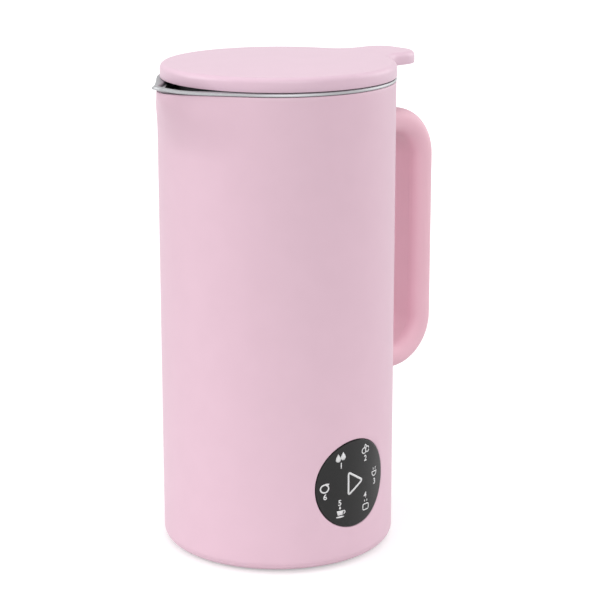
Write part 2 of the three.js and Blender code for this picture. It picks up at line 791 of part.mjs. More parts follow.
function fieldCoil(middle) {
  const inner = shoeOuter + coilGap;
  const outer = yokeInner - coilGap;
  const low = statorZ - coilRise;
  const high = statorTop + coilRise;
  const half = shoeHalfAngle;
  const coil = plate(sector(inner, outer, middle - half, middle + half), low, high, shoeSteps);
  const windowHalf = neckHalfAngle + coilGap / inner;
  const pole = plate(sector(inner - overrun, outer + overrun, middle - windowHalf, middle + windowHalf),
    statorZ - coilGap, statorTop + coilGap, neckSteps);
  return cut(coil, pole);
}
piece("field_coil_front", fieldCoil(-quarterTurn), looks.copper);
piece("field_coil_back", fieldCoil(quarterTurn), looks.copper);

// Two long screws hold the brackets and the stator together
const motorScrewHeadRadius = 3.2;
const motorScrewHeadHeight = 2;
[-earCircle, earCircle].forEach((x, i) => {
  const low = lowerBracketZ;
  const high = upperBracketTop + seatGap;
  const screw = turned([
    [0, low],
    [motorScrewRadius, low],
    [motorScrewRadius, high],
    [motorScrewHeadRadius, high],
    [motorScrewHeadRadius, high + motorScrewHeadHeight],
    [0, high + motorScrewHeadHeight],
  ], smallSides);
  piece("motor_screw_" + sideNames[i], screw.translate(x, 0, 0), looks.steel);
});

// Rotor: the shaft, the slotted core with its winding, the commutator and the fan

const shaftBottom = fanZ - overrun;
const shaftShoulder = 3;
const shaftStepZ = seatTop + shaftShoulder;
const shaftEndRadius = 2.4;
const bladeThickness = 1.5;
const lowerBladeZ = shaftStepZ + seatGap;
const upperBladeZ = lowerBladeZ + bladeThickness + seatGap;
const bladeNutZ = upperBladeZ + bladeThickness + seatGap;
const bladeNutHeight = 7;
const bladeNutFlats = 10;
const bladeNutRoof = 1.6;
const shaftTop = bladeNutZ + bladeNutHeight - bladeNutRoof - seatGap;
piece("motor_shaft", turned([
  [0, shaftBottom],
  [shaftRadius, shaftBottom],
  [shaftRadius, shaftStepZ],
  [shaftEndRadius, shaftStepZ],
  [shaftEndRadius, shaftTop],
  [0, shaftTop],
], mediumSides), looks.steel);

const slotCount = 10;
const slotShare = 0.127;
const slotCircleShare = 0.707;
const windingShare = 0.86;
const windingInnerShare = 0.367;
const slotRadius = rotorRadius * slotShare;
const slotCircle = rotorRadius * slotCircleShare;
const windingRadius = rotorRadius * windingShare;
const windingInner = rotorRadius * windingInnerShare;
const windingGap = 0.3;
const slotMouthWidth = 1.2;

function slotAngles() {
  return Array.from({ length: slotCount }, (_, i) => (i * fullTurn) / slotCount);
}

function rotorCore() {
  const core = tube(shaftRadius + seatGap, rotorRadius, statorZ, statorTop, wideSides);
  const slots = slotAngles().flatMap((angle) => {
    const [x, y] = onCircle(slotCircle, angle);
    const mouth = block([slotCircle, rotorRadius + overrun], [-slotMouthWidth / 2, slotMouthWidth / 2],
      [statorZ - overrun, statorTop + overrun]);
    return [
      disc(slotRadius, statorZ - overrun, statorTop + overrun, slotSides).translate(x, y, 0),
      mouth.rotateZ(angle),
    ];
  });
  return cut(core, ...slots);
}
piece("rotor_core", rotorCore(), looks.iron);

function rotorWinding() {
  const ends = [[lowerWindingZ, statorZ - windingGap], [statorTop + windingGap, windingTop]];
  const bundles = ends.map(([low, high]) => tube(windingInner, windingRadius, low, high, mediumSides));
  const bars = slotAngles().map((angle) => {
    const [x, y] = onCircle(slotCircle, angle);
    return disc(slotRadius - windingGap, lowerWindingZ + overrun, windingTop - overrun, slotSides)
      .translate(x, y, 0);
  });
  return join(bundles[0], bundles[1], ...bars);
}
piece("rotor_winding", rotorWinding(), looks.copper);

function commutator() {
  const high = commutatorZ + commutatorHeight;
  const drum = tube(shaftRadius + seatGap, commutatorRadius, commutatorZ, high, mediumSides);
  const slitWidth = 0.5;
  const slitDepth = 1;
  const slitCount = 2 * slotCount;
  const slits = Array.from({ length: slitCount }, (_, i) =>
    block([commutatorRadius - slitDepth, commutatorRadius + overrun], [-slitWidth / 2, slitWidth / 2],
      [commutatorZ - overrun, high + overrun]).rotateZ((i * fullTurn) / slitCount));
  return cut(drum, ...slits);
}
piece("commutator", commutator(), looks.copper);

function coolingFan() {
  const hubRadius = 7;
  const bladeWidth = 1.4;
  const bladeCount = 9;
  const discThickness = 1.6;
  const hub = disc(hubRadius, fanZ, fanTop, mediumSides);
  const base = disc(fanRadius, fanTop - discThickness, fanTop, mediumSides);
  const vanes = Array.from({ length: bladeCount }, (_, i) =>
    block([hubRadius - overrun, fanRadius - overrun], [-bladeWidth / 2, bladeWidth / 2],
      [fanZ, fanTop - discThickness / 2]).rotateZ((i * fullTurn) / bladeCount));
  const bore = disc(shaftRadius + seatGap, fanZ - overrun, fanTop + overrun, mediumSides);
  return cut(join(hub, base, ...vanes), bore);
}
piece("cooling_fan", coolingFan(), looks.whitePlastic);

// Blades: two crossed steel strips on the shaft's upper end, one with its tips up and one with its tips down

const bladeReach = 27;
const bladeRootWidth = 11;
const bladeTipWidth = 4;
const bladeBendShare = 0.35;

function blade(rise) {
  const bend = bladeReach * bladeBendShare;
  const half = bladeRootWidth / 2;
  const stations = [
    [-bladeReach, half - bladeTipWidth, half, rise],
    [-bend, -half, half, 0],
    [bend, -half, half, 0],
    [bladeReach, -half, bladeTipWidth - half, rise],
  ];
  const strip = loft(stations.map(([x, yLow, yHigh, z]) => [
    new THREE.Vector3(x, yLow, z),
    new THREE.Vector3(x, yHigh, z),
    new THREE.Vector3(x, yHigh, z + bladeThickness),
    new THREE.Vector3(x, yLow, z + bladeThickness),
  ]));
  return cut(strip, disc(shaftEndRadius + seatGap, -overrun, bladeThickness + overrun, smallSides));
}
const bladeTipRise = 6;
const lowerTipDrop = 3.5;
piece("lower_blade", blade(-lowerTipDrop).translate(0, 0, lowerBladeZ).rotateZ(quarterTurn), looks.steel);
piece("upper_blade", blade(bladeTipRise).translate(0, 0, upperBladeZ), looks.steel);

function bladeNut() {
  const body = plate(hexagon(bladeNutFlats), bladeNutZ, bladeNutZ + bladeNutHeight);
  const bore = disc(shaftEndRadius + seatGap, bladeNutZ - overrun, shaftTop + seatGap, smallSides);
  return cut(body, bore);
}
piece("blade_nut", bladeNut(), looks.steel);

// Bottom cover: a disc in the shell's lower edge, with vents, screw bosses, foot pockets and the board's slot

const footInset = 3.7;
const footCircle = coverRadius - footRadius - footInset;
const footAngles = studAngles;
const footPocketDepth = 1.2;
const coverScrewHeadRadius = 3.1;
const coverScrewHeadHeight = 1.7;
const coverScrewHeadDepth = 2.4;
const ventCount = 12;
const ventWidth = 2.6;
const ventInner = 13;
const ventOuter = footCircle - 2 * footRadius;
const boardInset = 5.2;
const boardX = boardInset - ledgeRadius;
const boardThickness = 1.6;
const boardWidth = 48;
const boardTall = 58;
const boardZ = ledgeTop + seatGap + overrun;
const clipHeight = 7;
const clipWidth = 24;
const clipThickness = 1.6;

function bottomCover() {
  const outline = new THREE.Shape().absarc(0, 0, coverRadius, 0, fullTurn, false);
  for (let i = 0; i < ventCount; i++) {
    const angle = (i * fullTurn) / ventCount;
    const along = onCircle(1, angle);
    const across = onCircle(ventWidth / 2, angle + quarterTurn);
    const slot = new THREE.Path();
    [[ventInner, 1], [ventInner, -1], [ventOuter, -1], [ventOuter, 1]].forEach(([radius, side], j) => {
      const x = along[0] * radius + side * across[0];
      const y = along[1] * radius + side * across[1];
      slot[j ? "lineTo" : "moveTo"](x, y);
    });
    outline.holes.push(slot.closePath());
  }
  const bosses = postAngles.map((angle) => {
    const [x, y] = onCircle(postCircle, angle);
    return disc(coverBossRadius, coverThickness / 2, coverBossTop, smallSides).translate(x, y, 0);
  });
  const gap = boardThickness / 2 + seatGap;
  const clipEnds = [-clipWidth / 2, clipWidth / 2];
  const clipOuter = gap + clipThickness;
  const clipBottom = coverThickness / 2;
  const clipTop = coverThickness + clipHeight;
  const clips = [-1, 1].map((side) =>
    block(spanOn(side, gap, clipOuter), clipEnds, [clipBottom, clipTop]));
  const clipFloor = block([-clipOuter, clipOuter], clipEnds, [clipBottom, boardZ - seatGap]);
  const slot = join(clipFloor, ...clips).translate(boardX, 0, 0);
  const screwHoles = postAngles.flatMap((angle) => {
    const [x, y] = onCircle(postCircle, angle);
    return [
      disc(coverScrewRadius + seatGap, -overrun, coverBossTop + overrun, smallSides).translate(x, y, 0),
      disc(coverScrewHeadRadius + seatGap, -overrun, coverScrewHeadDepth, smallSides).translate(x, y, 0),
    ];
  });
  const pockets = footAngles.map((angle) => {
    const [x, y] = onCircle(footCircle, angle);
    return disc(footRadius + seatGap, -overrun, footPocketDepth, smallSides).translate(x, y, 0);
  });
  return cut(join(plate(outline, 0, coverThickness, coverSteps), ...bosses, slot), ...screwHoles, ...pockets);
}
piece("bottom_cover", bottomCover(), looks.darkPlastic);

postAngles.forEach((angle, i) => {
  const [x, y] = onCircle(postCircle, angle);
  const headTop = coverScrewHeadDepth - seatGap;
  const screw = turned([
    [0, headTop - coverScrewHeadHeight],
    [coverScrewHeadRadius, headTop - coverScrewHeadHeight],
    [coverScrewHeadRadius, headTop],
    [coverScrewRadius, headTop],
    [coverScrewRadius, postBottom + coverScrewLength - overrun],
    [0, postBottom + coverScrewLength - overrun],
  ], smallSides);
  piece("cover_screw_" + (i + 1), screw.translate(x, y, 0), looks.steel);
});

const footEdge = 0.4;
footAngles.forEach((angle, i) => {
  const [x, y] = onCircle(footCircle, angle);
  const foot = turned([
    [0, -footHeight],
    [footRadius - footEdge, -footHeight],
    [footRadius, footEdge - footHeight],
    [footRadius, footPocketDepth - seatGap],
    [0, footPocketDepth - seatGap],
  ], smallSides);
  piece("foot_" + (i + 1), foot.translate(x, y, 0), looks.silicone);
});

// Power board: upright in its slot on the cover, with its relay, capacitor and plug-in headers

const relayTall = 16;
const relayWide = 14;
const relayDeep = 8;
const capRadius = 4;
const capDeep = 7;
const headerWide = 12;
const headerTall = 5;
const headerDeep = 6;

function powerBoard() {
  const half = boardWidth / 2;
  const front = boardX + boardThickness / 2;
  const board = block([boardX - boardThickness / 2, front], [-half, half], [boardZ, boardZ + boardTall]);
  const partsZ = coverThickness + clipHeight + relayTall / 4;
  const overlap = boardThickness / 2;
  const relay = block([front - overlap, front + relayDeep], [-relayWide / 2, relayWide / 2],
    [partsZ, partsZ + relayTall]);
  const capacitor = rodAlongX(capRadius, front - overlap, front + capDeep,
    relayWide, partsZ + relayTall + capRadius, smallSides);
  const headerZ = boardZ + boardTall - 2 * headerTall;
  const header = block([front - overlap, front + headerDeep], [-headerWide / 2, headerWide / 2],
    [headerZ, headerZ + headerTall]);
  return join(board, relay, capacitor, header);
}
piece("power_board", powerBoard(), looks.board);

// Power inlet under the handle: a three-pin socket let into the shell, with a flange behind the wall

const inletFlange = 3;
const inletFlangeThickness = 2.4;
const inletDepth = 19;
const inletWall = 2.4;
const pinLength = 13;
const pinTail = 3;
const pinWide = 4;
const pinThick = 2;
const pinSpread = 7;
const pinDrop = 3;
const inletBackX = inletFrontX - inletDepth;
const inletFlangeHalfWidth = inletWidth / 2 + inletFlange;
const inletFlangeX = Math.sqrt(shellInner ** 2 - inletFlangeHalfWidth ** 2) - seatGap;

function powerInlet() {
  const halfWidth = inletWidth / 2;
  const halfTall = inletTall / 2;
  const front = block([inletFlangeX - inletFlangeThickness, inletFrontX], [-halfWidth, halfWidth],
    [inletHeight - halfTall, inletHeight + halfTall]);
  const flange = block([inletFlangeX - inletFlangeThickness, inletFlangeX],
    [-inletFlangeHalfWidth, inletFlangeHalfWidth],
    [inletHeight - halfTall - inletFlange, inletHeight + halfTall + inletFlange]);
  const back = block([inletBackX, inletFlangeX], [-halfWidth + inletWall / 2, halfWidth - inletWall / 2],
    [inletHeight - halfTall + inletWall / 2, inletHeight + halfTall - inletWall / 2]);
  const socket = block([inletBackX + inletWall, inletFrontX + overrun],
    [inletWall - halfWidth, halfWidth - inletWall],
    [inletHeight - halfTall + inletWall, inletHeight + halfTall - inletWall]);
  const backWall = [inletBackX - overrun, inletBackX + inletWall + overrun];
  const pinHoles = inletPins().map(([, y, z]) => pinBlock(backWall, y, z, seatGap));
  return cut(join(front, flange, back), socket, ...pinHoles);
}

function pinBlock(x, y, z, room) {
  const half = pinWide / 2 + room;
  const halfThick = pinThick / 2 + room;
  return block(x, [y - half, y + half], [z - halfThick, z + halfThick]);
}

function inletPins() {
  return [
    ["line_pin", -pinSpread, inletHeight - pinDrop / 2],
    ["neutral_pin", pinSpread, inletHeight - pinDrop / 2],
    ["earth_pin", 0, inletHeight + pinDrop / 2],
  ];
}
piece("power_inlet", powerInlet(), looks.darkPlastic);
inletPins().forEach(([name, y, z]) => {
  const length = [inletBackX - pinTail, inletBackX + inletWall + pinLength];
  piece(name, pinBlock(length, y, z, 0), looks.brass);
});

// Touch panel: a bent disc flush in the shell, a frame behind it and the touch board on the frame

const lensProud = 0.1;
const frameRim = 2;
const frameDepth = 9.6;
const frameWall = 4;
const touchBoardThickness = 1.6;
const lensInner = shellInner + seatGap;
const frameRadius = panelRadius + frameRim;
const frameBackY = frameDepth - shellInner;
piece("control_panel", patch(panelRadius, bodyRadius + lensProud, lensInner), looks.panel);

function rodAlongY(radius, from, to, z, sides) {
  return disc(radius, from, to, sides).rotateX(-quarterTurn).translate(0, 0, z);
}

function panelFrame() {
  const barrel = rodAlongY(frameRadius, frameBackY, -bodyRadius, panelHeight, mediumSides);
  const hole = rodAlongY(frameRadius - frameWall, frameBackY + overrun, -bodyRadius - overrun,
    panelHeight, mediumSides);
  const inside = disc(shellInner - seatGap, 0, shellHeight, wideSides);
  return common(cut(barrel, hole), inside);
}
piece("panel_frame", panelFrame(), looks.darkPlastic);

const touchBoardY = frameBackY + seatGap;
piece("touch_board", rodAlongY(frameRadius - overrun, touchBoardY, touchBoardY + touchBoardThickness,
  panelHeight, mediumSides), looks.board);

// Handle: a hollow loop open along its inner side, a strip that closes it, and a screw at each end

const handleBendSteps = 7;
const handleEdgeSteps = 3;

function handlePath(start) {
  const half = handleThickness / 2;
  const radius = handleCornerRadius - half;
  const x = handleReach - handleCornerRadius;
  const steps = handleBendSteps;
  const points = [];
  const add = (px, pz, angle) => points.push({
    place: new THREE.Vector3(px, 0, pz),
    outward: new THREE.Vector3(Math.cos(angle), 0, Math.sin(angle)),
  });
  add(start, handleTop - half, quarterTurn);
  arc([x, handleTop - handleCornerRadius], radius, quarterTurn, 0, steps).forEach(([px, pz], i) =>
    add(px, pz, quarterTurn * (1 - i / steps)));
  arc([x, handleBottom + handleCornerRadius], radius, 0, -quarterTurn, steps).forEach(([px, pz], i) =>
    add(px, pz, (-quarterTurn * i) / steps));
  add(start, handleBottom + half, -quarterTurn);
  return points;
}

function sweep(section, path) {
  return loft(path.map(({ place, outward }) =>
    section.map(([out, side]) => new THREE.Vector3(0, side, 0).addScaledVector(outward, out).add(place))));
}

function rectangle(outLow, outHigh, half) {
  return [[outLow, -half], [outHigh, -half], [outHigh, half], [outLow, half]];
}

const handleStart = bodyRadius / 2;
const coverStripHalf = handleWidth / 2 - handleEdgeRounding;
const coverStripThickness = 2;
const stripRest = 1.5;
const cavityHalf = coverStripHalf - stripRest;

function handleLoop() {
  const half = handleThickness / 2;
  const r = handleEdgeRounding;
  const corner = (out, side, from) => {
    const centre = [out * (half - r), side * (handleWidth / 2 - r)];
    return arc(centre, r, from, from + quarterTurn, handleEdgeSteps);
  };
  const section = [
    ...corner(1, 1, 0),
    ...corner(-1, 1, quarterTurn),
    ...corner(-1, -1, 2 * quarterTurn),
    ...corner(1, -1, 3 * quarterTurn),
  ];
  return sweep(section, handlePath(handleStart));
}

const bossLength = 12;

function handleShell() {
  const half = handleThickness / 2;
  const path = handlePath(handleStart - overrun);
  const grooveFloor = coverStripThickness + seatGap - half;
  const groove = sweep(rectangle(-half - overrun, grooveFloor, coverStripHalf + seatGap), path);
  const cavity = sweep(rectangle(coverStripThickness - half, half - handleWall, cavityHalf), path);
  const body = disc(bodyRadius + seatGap, 0, shellHeight, wideSides);
  const bosses = handleArms.map(({ height, outward }) => {
    const spanAbove = spanOn(outward, coverStripThickness + 2 * seatGap - half, half - handleWall / 2);
    return block([bodyRadius - overrun, bodyRadius + bossLength],
      [-cavityHalf - overrun, cavityHalf + overrun], spanAbove.map((above) => height + above));
  });
  const bores = handleArms.map(({ height }) => rodAlongX(handleScrewRadius + seatGap,
    bodyRadius - overrun, bodyRadius + bossLength - overrun, 0, height, smallSides));
  return cut(join(cut(handleLoop(), groove, cavity), ...bosses), body, ...bores);
}

function handleStrip() {
  const half = handleThickness / 2;
  const strip = sweep(rectangle(-half, -half + coverStripThickness, coverStripHalf), handlePath(handleStart));
  return cut(strip, disc(bodyRadius + seatGap, 0, shellHeight, wideSides));
}
piece("handle_shell", handleShell(), looks.body);
piece("handle_strip", handleStrip(), looks.body);

const handleScrewHeadRadius = 3.6;
const handleScrewHeadHeight = 1.6;
const handleScrewLength = 12;
const handleScrewNames = ["upper", "lower"];
handleArms.forEach(({ height }, i) => {
  const seat = Math.sqrt(shellInner ** 2 - handleScrewHeadRadius ** 2) - seatGap;
  const screw = turned([
    [0, seat - handleScrewHeadHeight],
    [handleScrewHeadRadius, seat - handleScrewHeadHeight],
    [handleScrewHeadRadius, seat],
    [handleScrewRadius, seat],
    [handleScrewRadius, seat + handleScrewLength],
    [0, seat + handleScrewLength],
  ], smallSides);
  screw.rotateY(quarterTurn).translate(0, 0, height);
  piece("handle_screw_" + handleScrewNames[i], screw, looks.steel);
});

// Lid: a hollow cover with a thumb tab over the handle, an inner plate with a collar, a seal and a magnet

const lidZ = rimTop + seatGap;
const lidTop = lidZ + lidHeight;
const tabLift = 0.6;
const tabCornerSteps = 5;
const lidRimSteps = 36;

// The lid's outline drawn in by an inset, from the middle of one side of the tab round to the other
function lidOutline(inset) {
  const round = lidRadius - inset;
  const half = tabWidth / 2 - inset;
  const fillet = tabFilletRadius + inset;
  const tip = tabCornerRadius - inset;
  const reach = tabReach - inset;
  const filletX = Math.sqrt((round + fillet) ** 2 - (half + fillet) ** 2);
  const meet = Math.atan2(half + fillet, filletX);
  const corner = arc([reach - tip - lidShift, half - tip], tip, 0, quarterTurn, tabCornerSteps);
  const hollow = arc([filletX, half + fillet], fillet, -quarterTurn, meet - Math.PI, roundingSteps);
  const side = [...corner, ...hollow];
  const mirrored = side.map(([x, y]) => [x, -y]).reverse();
  const rim = arc([0, 0], round, meet, fullTurn - meet, lidRimSteps).slice(1, -1);
  return [...side, ...rim, ...mirrored].map(([x, y]) => [x + lidShift, y]);
}

function lidRing(inset, height) {
  return lidOutline(inset).map(([x, y]) => new THREE.Vector3(x, y, height));
}

function lidCover() {
  const lowerEdge = 0.4;
  const rounding = arc([-lidEdgeRounding, lidTop - lidEdgeRounding], lidEdgeRounding,
    0, quarterTurn, roundingSteps);
  const body = loft([
    lidRing(lowerEdge, lidZ),
    lidRing(0, lidZ + lowerEdge),
    ...rounding.map(([inset, height]) => lidRing(-inset, height)),
  ]);
  const hollow = loft([lidRing(lidWall, lidZ - overrun), lidRing(lidWall, lidTop - lidWall)]);
  const underTab = block([bodyRadius + overrun, tabReach + overrun], [-tabWidth, tabWidth],
    [lidZ - overrun, lidZ + tabLift]);
  return cut(body, hollow, underTab);
}
piece("lid_cover", lidCover(), looks.lid);

const plateThickness = 1.6;
const plateInset = lidWall + seatGap;
const plateZ = lidZ + overrun;
const plateTop = plateZ + plateThickness;
const collarWall = 1.8;
const collarDepth = 12;
const collarBottom = lidZ - collarDepth;
const sealHeight = 6;
const sealThickness = 2.2;
const sealGrooveDepth = 1;
const sealOuter = jugRadius - jugWall - seatGap;
const sealInner = sealOuter - sealThickness;
const sealZ = collarBottom + overrun + 2 * seatGap;
const collarRadius = sealInner + sealGrooveDepth - seatGap;
const grooveRadius = sealInner - seatGap;
const collarInner = grooveRadius - collarWall;

// The collar hangs in the jug about the body's own axis. The plate above it closes the cover and its tab.
function lidPlate() {
  const collar = turnedRing([
    [collarInner, collarBottom],
    [collarRadius, collarBottom],
    [collarRadius, sealZ - seatGap],
    [grooveRadius, sealZ - seatGap],
    [grooveRadius, sealZ + sealHeight + seatGap],
    [collarRadius, sealZ + sealHeight + seatGap],
    [collarRadius, plateTop],
    [collarInner, plateTop],
  ], wideSides);
  return join(collar, loft([lidRing(plateInset, plateZ), lidRing(plateInset, plateTop)]));
}
piece("lid_plate", lidPlate(), looks.darkPlastic);

piece("lid_seal", turnedRing([
  [sealInner, sealZ],
  [sealOuter - sealGrooveDepth, sealZ],
  [sealOuter, sealZ + sealHeight / 4],
  [sealOuter - sealGrooveDepth, sealZ + sealHeight / 2],
  [sealOuter, sealZ + (3 * sealHeight) / 4],
  [sealOuter - sealGrooveDepth, sealZ + sealHeight],
  [sealInner, sealZ + sealHeight],
], wideSides), looks.silicone);

const magnetRadius = 4;
const magnetX = lidRadius - plateInset - magnetRadius;
const magnetZ = plateTop + seatGap;
piece("lid_magnet", disc(magnetRadius, magnetZ, lidTop - lidWall - seatGap, smallSides)
  .translate(magnetX, 0, 0), looks.iron);

// Lid sensor: a reed switch on a small board between the shell and the jug, under the magnet

const sensorHalfWidth = 5;
const sensorTall = 12;
const sensorThickness = 2;
const sensorOuterX = Math.sqrt((shellInner - seatGap) ** 2 - sensorHalfWidth ** 2);
const reedTop = rimZ - seatGap;
piece("lid_sensor", block([sensorOuterX - sensorThickness, sensorOuterX], [-sensorHalfWidth, sensorHalfWidth],
  [reedTop - sensorTall, reedTop]), looks.board);

export default soyMilkMaker;
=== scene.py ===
"""A one-litre soy milk maker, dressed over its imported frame: a pale pink body with a loop handle and a round
touch panel, a steel jug with a pouring spout and blades in its floor, a motor below it, and a flat lid that
lifts off. Sizes are named in millimetres and become metres as each mesh is made. Z is up along the body's
axis, the handle is at +X, the spout at -X and the panel at -Y."""

import math

import bmesh
import bpy
import numpy as np
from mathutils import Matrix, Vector


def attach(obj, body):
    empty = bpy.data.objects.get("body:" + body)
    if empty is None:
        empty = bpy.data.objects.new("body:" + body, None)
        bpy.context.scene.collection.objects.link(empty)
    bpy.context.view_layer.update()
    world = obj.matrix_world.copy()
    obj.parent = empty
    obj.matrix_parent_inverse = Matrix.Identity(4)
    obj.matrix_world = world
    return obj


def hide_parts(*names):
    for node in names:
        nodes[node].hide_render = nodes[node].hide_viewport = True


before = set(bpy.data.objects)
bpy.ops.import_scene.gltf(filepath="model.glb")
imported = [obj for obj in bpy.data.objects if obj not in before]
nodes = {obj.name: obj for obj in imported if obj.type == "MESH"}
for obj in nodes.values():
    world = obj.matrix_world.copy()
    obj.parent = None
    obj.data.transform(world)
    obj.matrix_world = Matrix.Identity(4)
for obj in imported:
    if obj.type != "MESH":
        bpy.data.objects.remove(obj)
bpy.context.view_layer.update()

# Body shell. The real piece is one deep ABS moulding, open at both ends, whose upper edge is drawn out into
# a beak under the jug's spout. It has a satin grain, a window for the touch panel and one for the power
# inlet, a ledge inside its foot that the bottom cover bears on, and a fine mould line round the foot.
MM = 0.001
TINY = 1e-6
SHARP = math.radians(35)
BODY_R, WALL = 59.0, 2.4
SHELL_TOP = 236.2
BASE_ROUND = 5.7
SEAM_TURN, SEAM_HALF, SEAM_DEEP = -0.3, 0.035, 0.16
REBATE_R, LEDGE_R = 52.5, 50.2
LEDGE_LOW, LEDGE_HIGH = 2.7, 5.1
SPOUT_TIP, SPOUT_REACH, SPOUT_DROP = 7.2, 13.2, 32.0
SPOUT_X = BODY_R + SPOUT_REACH - SPOUT_TIP
SPOUT_FROM = math.radians(136)
SWELL_HIGH, SWELL_SPAN = 9.0, math.radians(40)
NOSE_R, NOSE_X = 14.0, 56.2
NOSE_INSIDE_R, NOSE_INSIDE_X = 2.0, 64.6
FIT = 0.3
EASE = 0.35
# An eased edge's middle point lies in from its corner by this share of the edge's size.
EASE_SHARE = 0.3
PANEL_R, PANEL_Z, PANEL_TURN = 22.4, 41.9, -math.pi / 2
INLET_HALF_W, INLET_HALF_T, INLET_Z = 14.0, 11.3, 32.0
INLET_POWER = 12
PANEL_BLOCK = 26.0
INLET_BLOCK_W, INLET_BLOCK_T = 17.4, 15.0

# Each window: its turn, height, half sizes and power, and the half sizes of the block that its wall takes in
WINDOWS = [
    (PANEL_TURN, PANEL_Z, PANEL_R + FIT, PANEL_R + FIT, 2, PANEL_BLOCK, PANEL_BLOCK),
    (0.0, INLET_Z, INLET_HALF_W, INLET_HALF_T, INLET_POWER, INLET_BLOCK_W, INLET_BLOCK_T),
]

# The grid that the shell, the jug and the rim share: turns that crowd at the spout's tip and are even over
# each block, how far each turn is from the spout, and the rows' heights beside the windows and the spout
PANEL_SPAN, INLET_SPAN = PANEL_BLOCK / BODY_R, INLET_BLOCK_W / BODY_R
NEAR_TIP = (math.pi - SPOUT_FROM) * np.linspace(0, 1, 36, endpoint=False) ** 2
SPAN_ENDS = [-SPOUT_FROM, PANEL_TURN - PANEL_SPAN, PANEL_TURN + PANEL_SPAN, -INLET_SPAN, INLET_SPAN,
             SPOUT_FROM]
SPAN_STEPS = [10, 26, 22, 18, 56]
SPANS = [np.linspace(a, b, n, endpoint=False) for a, b, n in zip(SPAN_ENDS, SPAN_ENDS[1:], SPAN_STEPS)]
TURNS = np.concatenate([NEAR_TIP - math.pi, *SPANS, [SPOUT_FROM], math.pi - NEAR_TIP[:0:-1]])
AWAY = math.pi - np.abs(TURNS)
WINDOW_ROWS = PANEL_Z + np.linspace(-PANEL_BLOCK, PANEL_BLOCK, 27)
SPOUT_ROWS = np.linspace(SHELL_TOP - SPOUT_DROP, SHELL_TOP - EASE, 23)


def linear(code):
    """An sRGB hex colour as linear red, green, blue and a full alpha."""
    value = np.array([int(code[i:i + 2], 16) for i in (0, 2, 4)]) / 255
    curve = np.where(value <= 0.04045, value / 12.92, ((value + 0.055) / 1.055) ** 2.4)
    return (*curve.tolist(), 1.0)


def add(tree, kind, values=None, links=None, stops=None, **settings):
    """Adds one node, with its settings, its socket values, the links into it and its colour ramp's stops."""
    node = tree.nodes.new("ShaderNode" + kind)
    for name, value in settings.items():
        setattr(node, name, value)
    for socket, value in (values or {}).items():
        node.inputs[socket].default_value = value
    for socket, source in (links or {}).items():
        tree.links.new(source, node.inputs[socket])
    for place, code in stops or ():
        ends = node.color_ramp.elements
        stop = ends[0] if place == stops[0][0] else ends[-1] if place == stops[-1][0] else ends.new(place)
        stop.position, stop.color = place, linear(code)
    return node


def start_material(name, **sockets):
    """A new material, its nodes and its Object coordinates, with the sockets that are even all over set."""
    material = bpy.data.materials.new(name)
    material.use_nodes = True
    tree = material.node_tree
    for socket, value in sockets.items():
        tree.nodes["Principled BSDF"].inputs[socket.replace("_", " ")].default_value = value
    return material, tree, add(tree, "TexCoord").outputs["Object"]


def end_material(material, tone, stops, gloss=None, rough=None, relief=None, strength=0.5, depth=None):
    """Ends a material: one pattern picks the colour between the stops, one the roughness between two
    values, and one raises bumps whose depth is in millimetres."""
    tree = material.node_tree
    shader = tree.nodes["Principled BSDF"].inputs
    colour = add(tree, "ValToRGB", links={"Fac": tone}, stops=stops)
    tree.links.new(colour.outputs["Color"], shader["Base Color"])
    if rough:
        sheen = add(tree, "MapRange", {"To Min": rough[0], "To Max": rough[1]}, {"Value": gloss})
        tree.links.new(sheen.outputs["Result"], shader["Roughness"])
    if depth:
        bump = add(tree, "Bump", {"Strength": strength, "Distance": depth * MM}, {"Height": relief})
        tree.links.new(bump.outputs["Normal"], shader["Normal"])
    return material


def moulded(name, light, dark, rough, grain=0.7, depth=0.006, **sockets):
    """Moulded plastic. Its colour wanders between two near tones over a centimetre or so, and the grain of
    the mould leaves low bumps and a gloss that varies with them."""
    material, tree, place = start_material(name, **sockets)
    cloud = add(tree, "TexNoise", {"Scale": 1 / (14 * MM), "Detail": 3.0}, {"Vector": place}).outputs["Fac"]
    grit = add(tree, "TexNoise", {"Scale": 1 / (grain * MM), "Detail": 2.0}, {"Vector": place}).outputs["Fac"]
    return end_material(material, cloud, [(0.3, dark), (0.7, light)], grit, (rough - 0.05, rough + 0.05),
                        grit, 0.5, depth)


def polar(radius, turn, height):
    """Points by their distance from the axis, their turn about it and their height."""
    return np.stack(np.broadcast_arrays(radius * np.cos(turn), radius * np.sin(turn), height), -1)


def arc(centre, radius, start=0.0, end=4.0, steps=28):
    """Points on an arc of across and up about a centre, with angles in quarter turns. Two radii, across and
    up, make it part of an ellipse."""
    turn = np.linspace(start, end, steps + 1) * math.pi / 2
    return np.asarray(centre) + np.asarray(radius) * np.stack([np.cos(turn), np.sin(turn)], -1)


def quads(rows, columns, close_rows=False, close_columns=True):
    """Quads over a grid of points in rows: each joins a point, the next in its row and the two above them."""
    i = np.arange(rows if close_rows else rows - 1)[:, None]
    j = np.arange(columns if close_columns else columns - 1)[None, :]
    here, over = i * columns, ((i + 1) % rows) * columns
    after = (j + 1) % columns
    return np.stack([here + j, here + after, over + after, over + j], -1).reshape(-1, 4)


def skin(rings, **closing):
    """The points and quads of a surface over rings of points."""
    return rings.reshape(-1, rings.shape[-1]), quads(*rings.shape[:2], **closing)


def joined(*parts):
    """The points and faces of several surfaces as those of one mesh."""
    starts = np.cumsum([0] + [len(points) for points, _ in parts])
    faces = [[start + v for v in face] for start, (_, polygons) in zip(starts, parts) for face in polygons]
    return np.concatenate([points for points, _ in parts]), faces


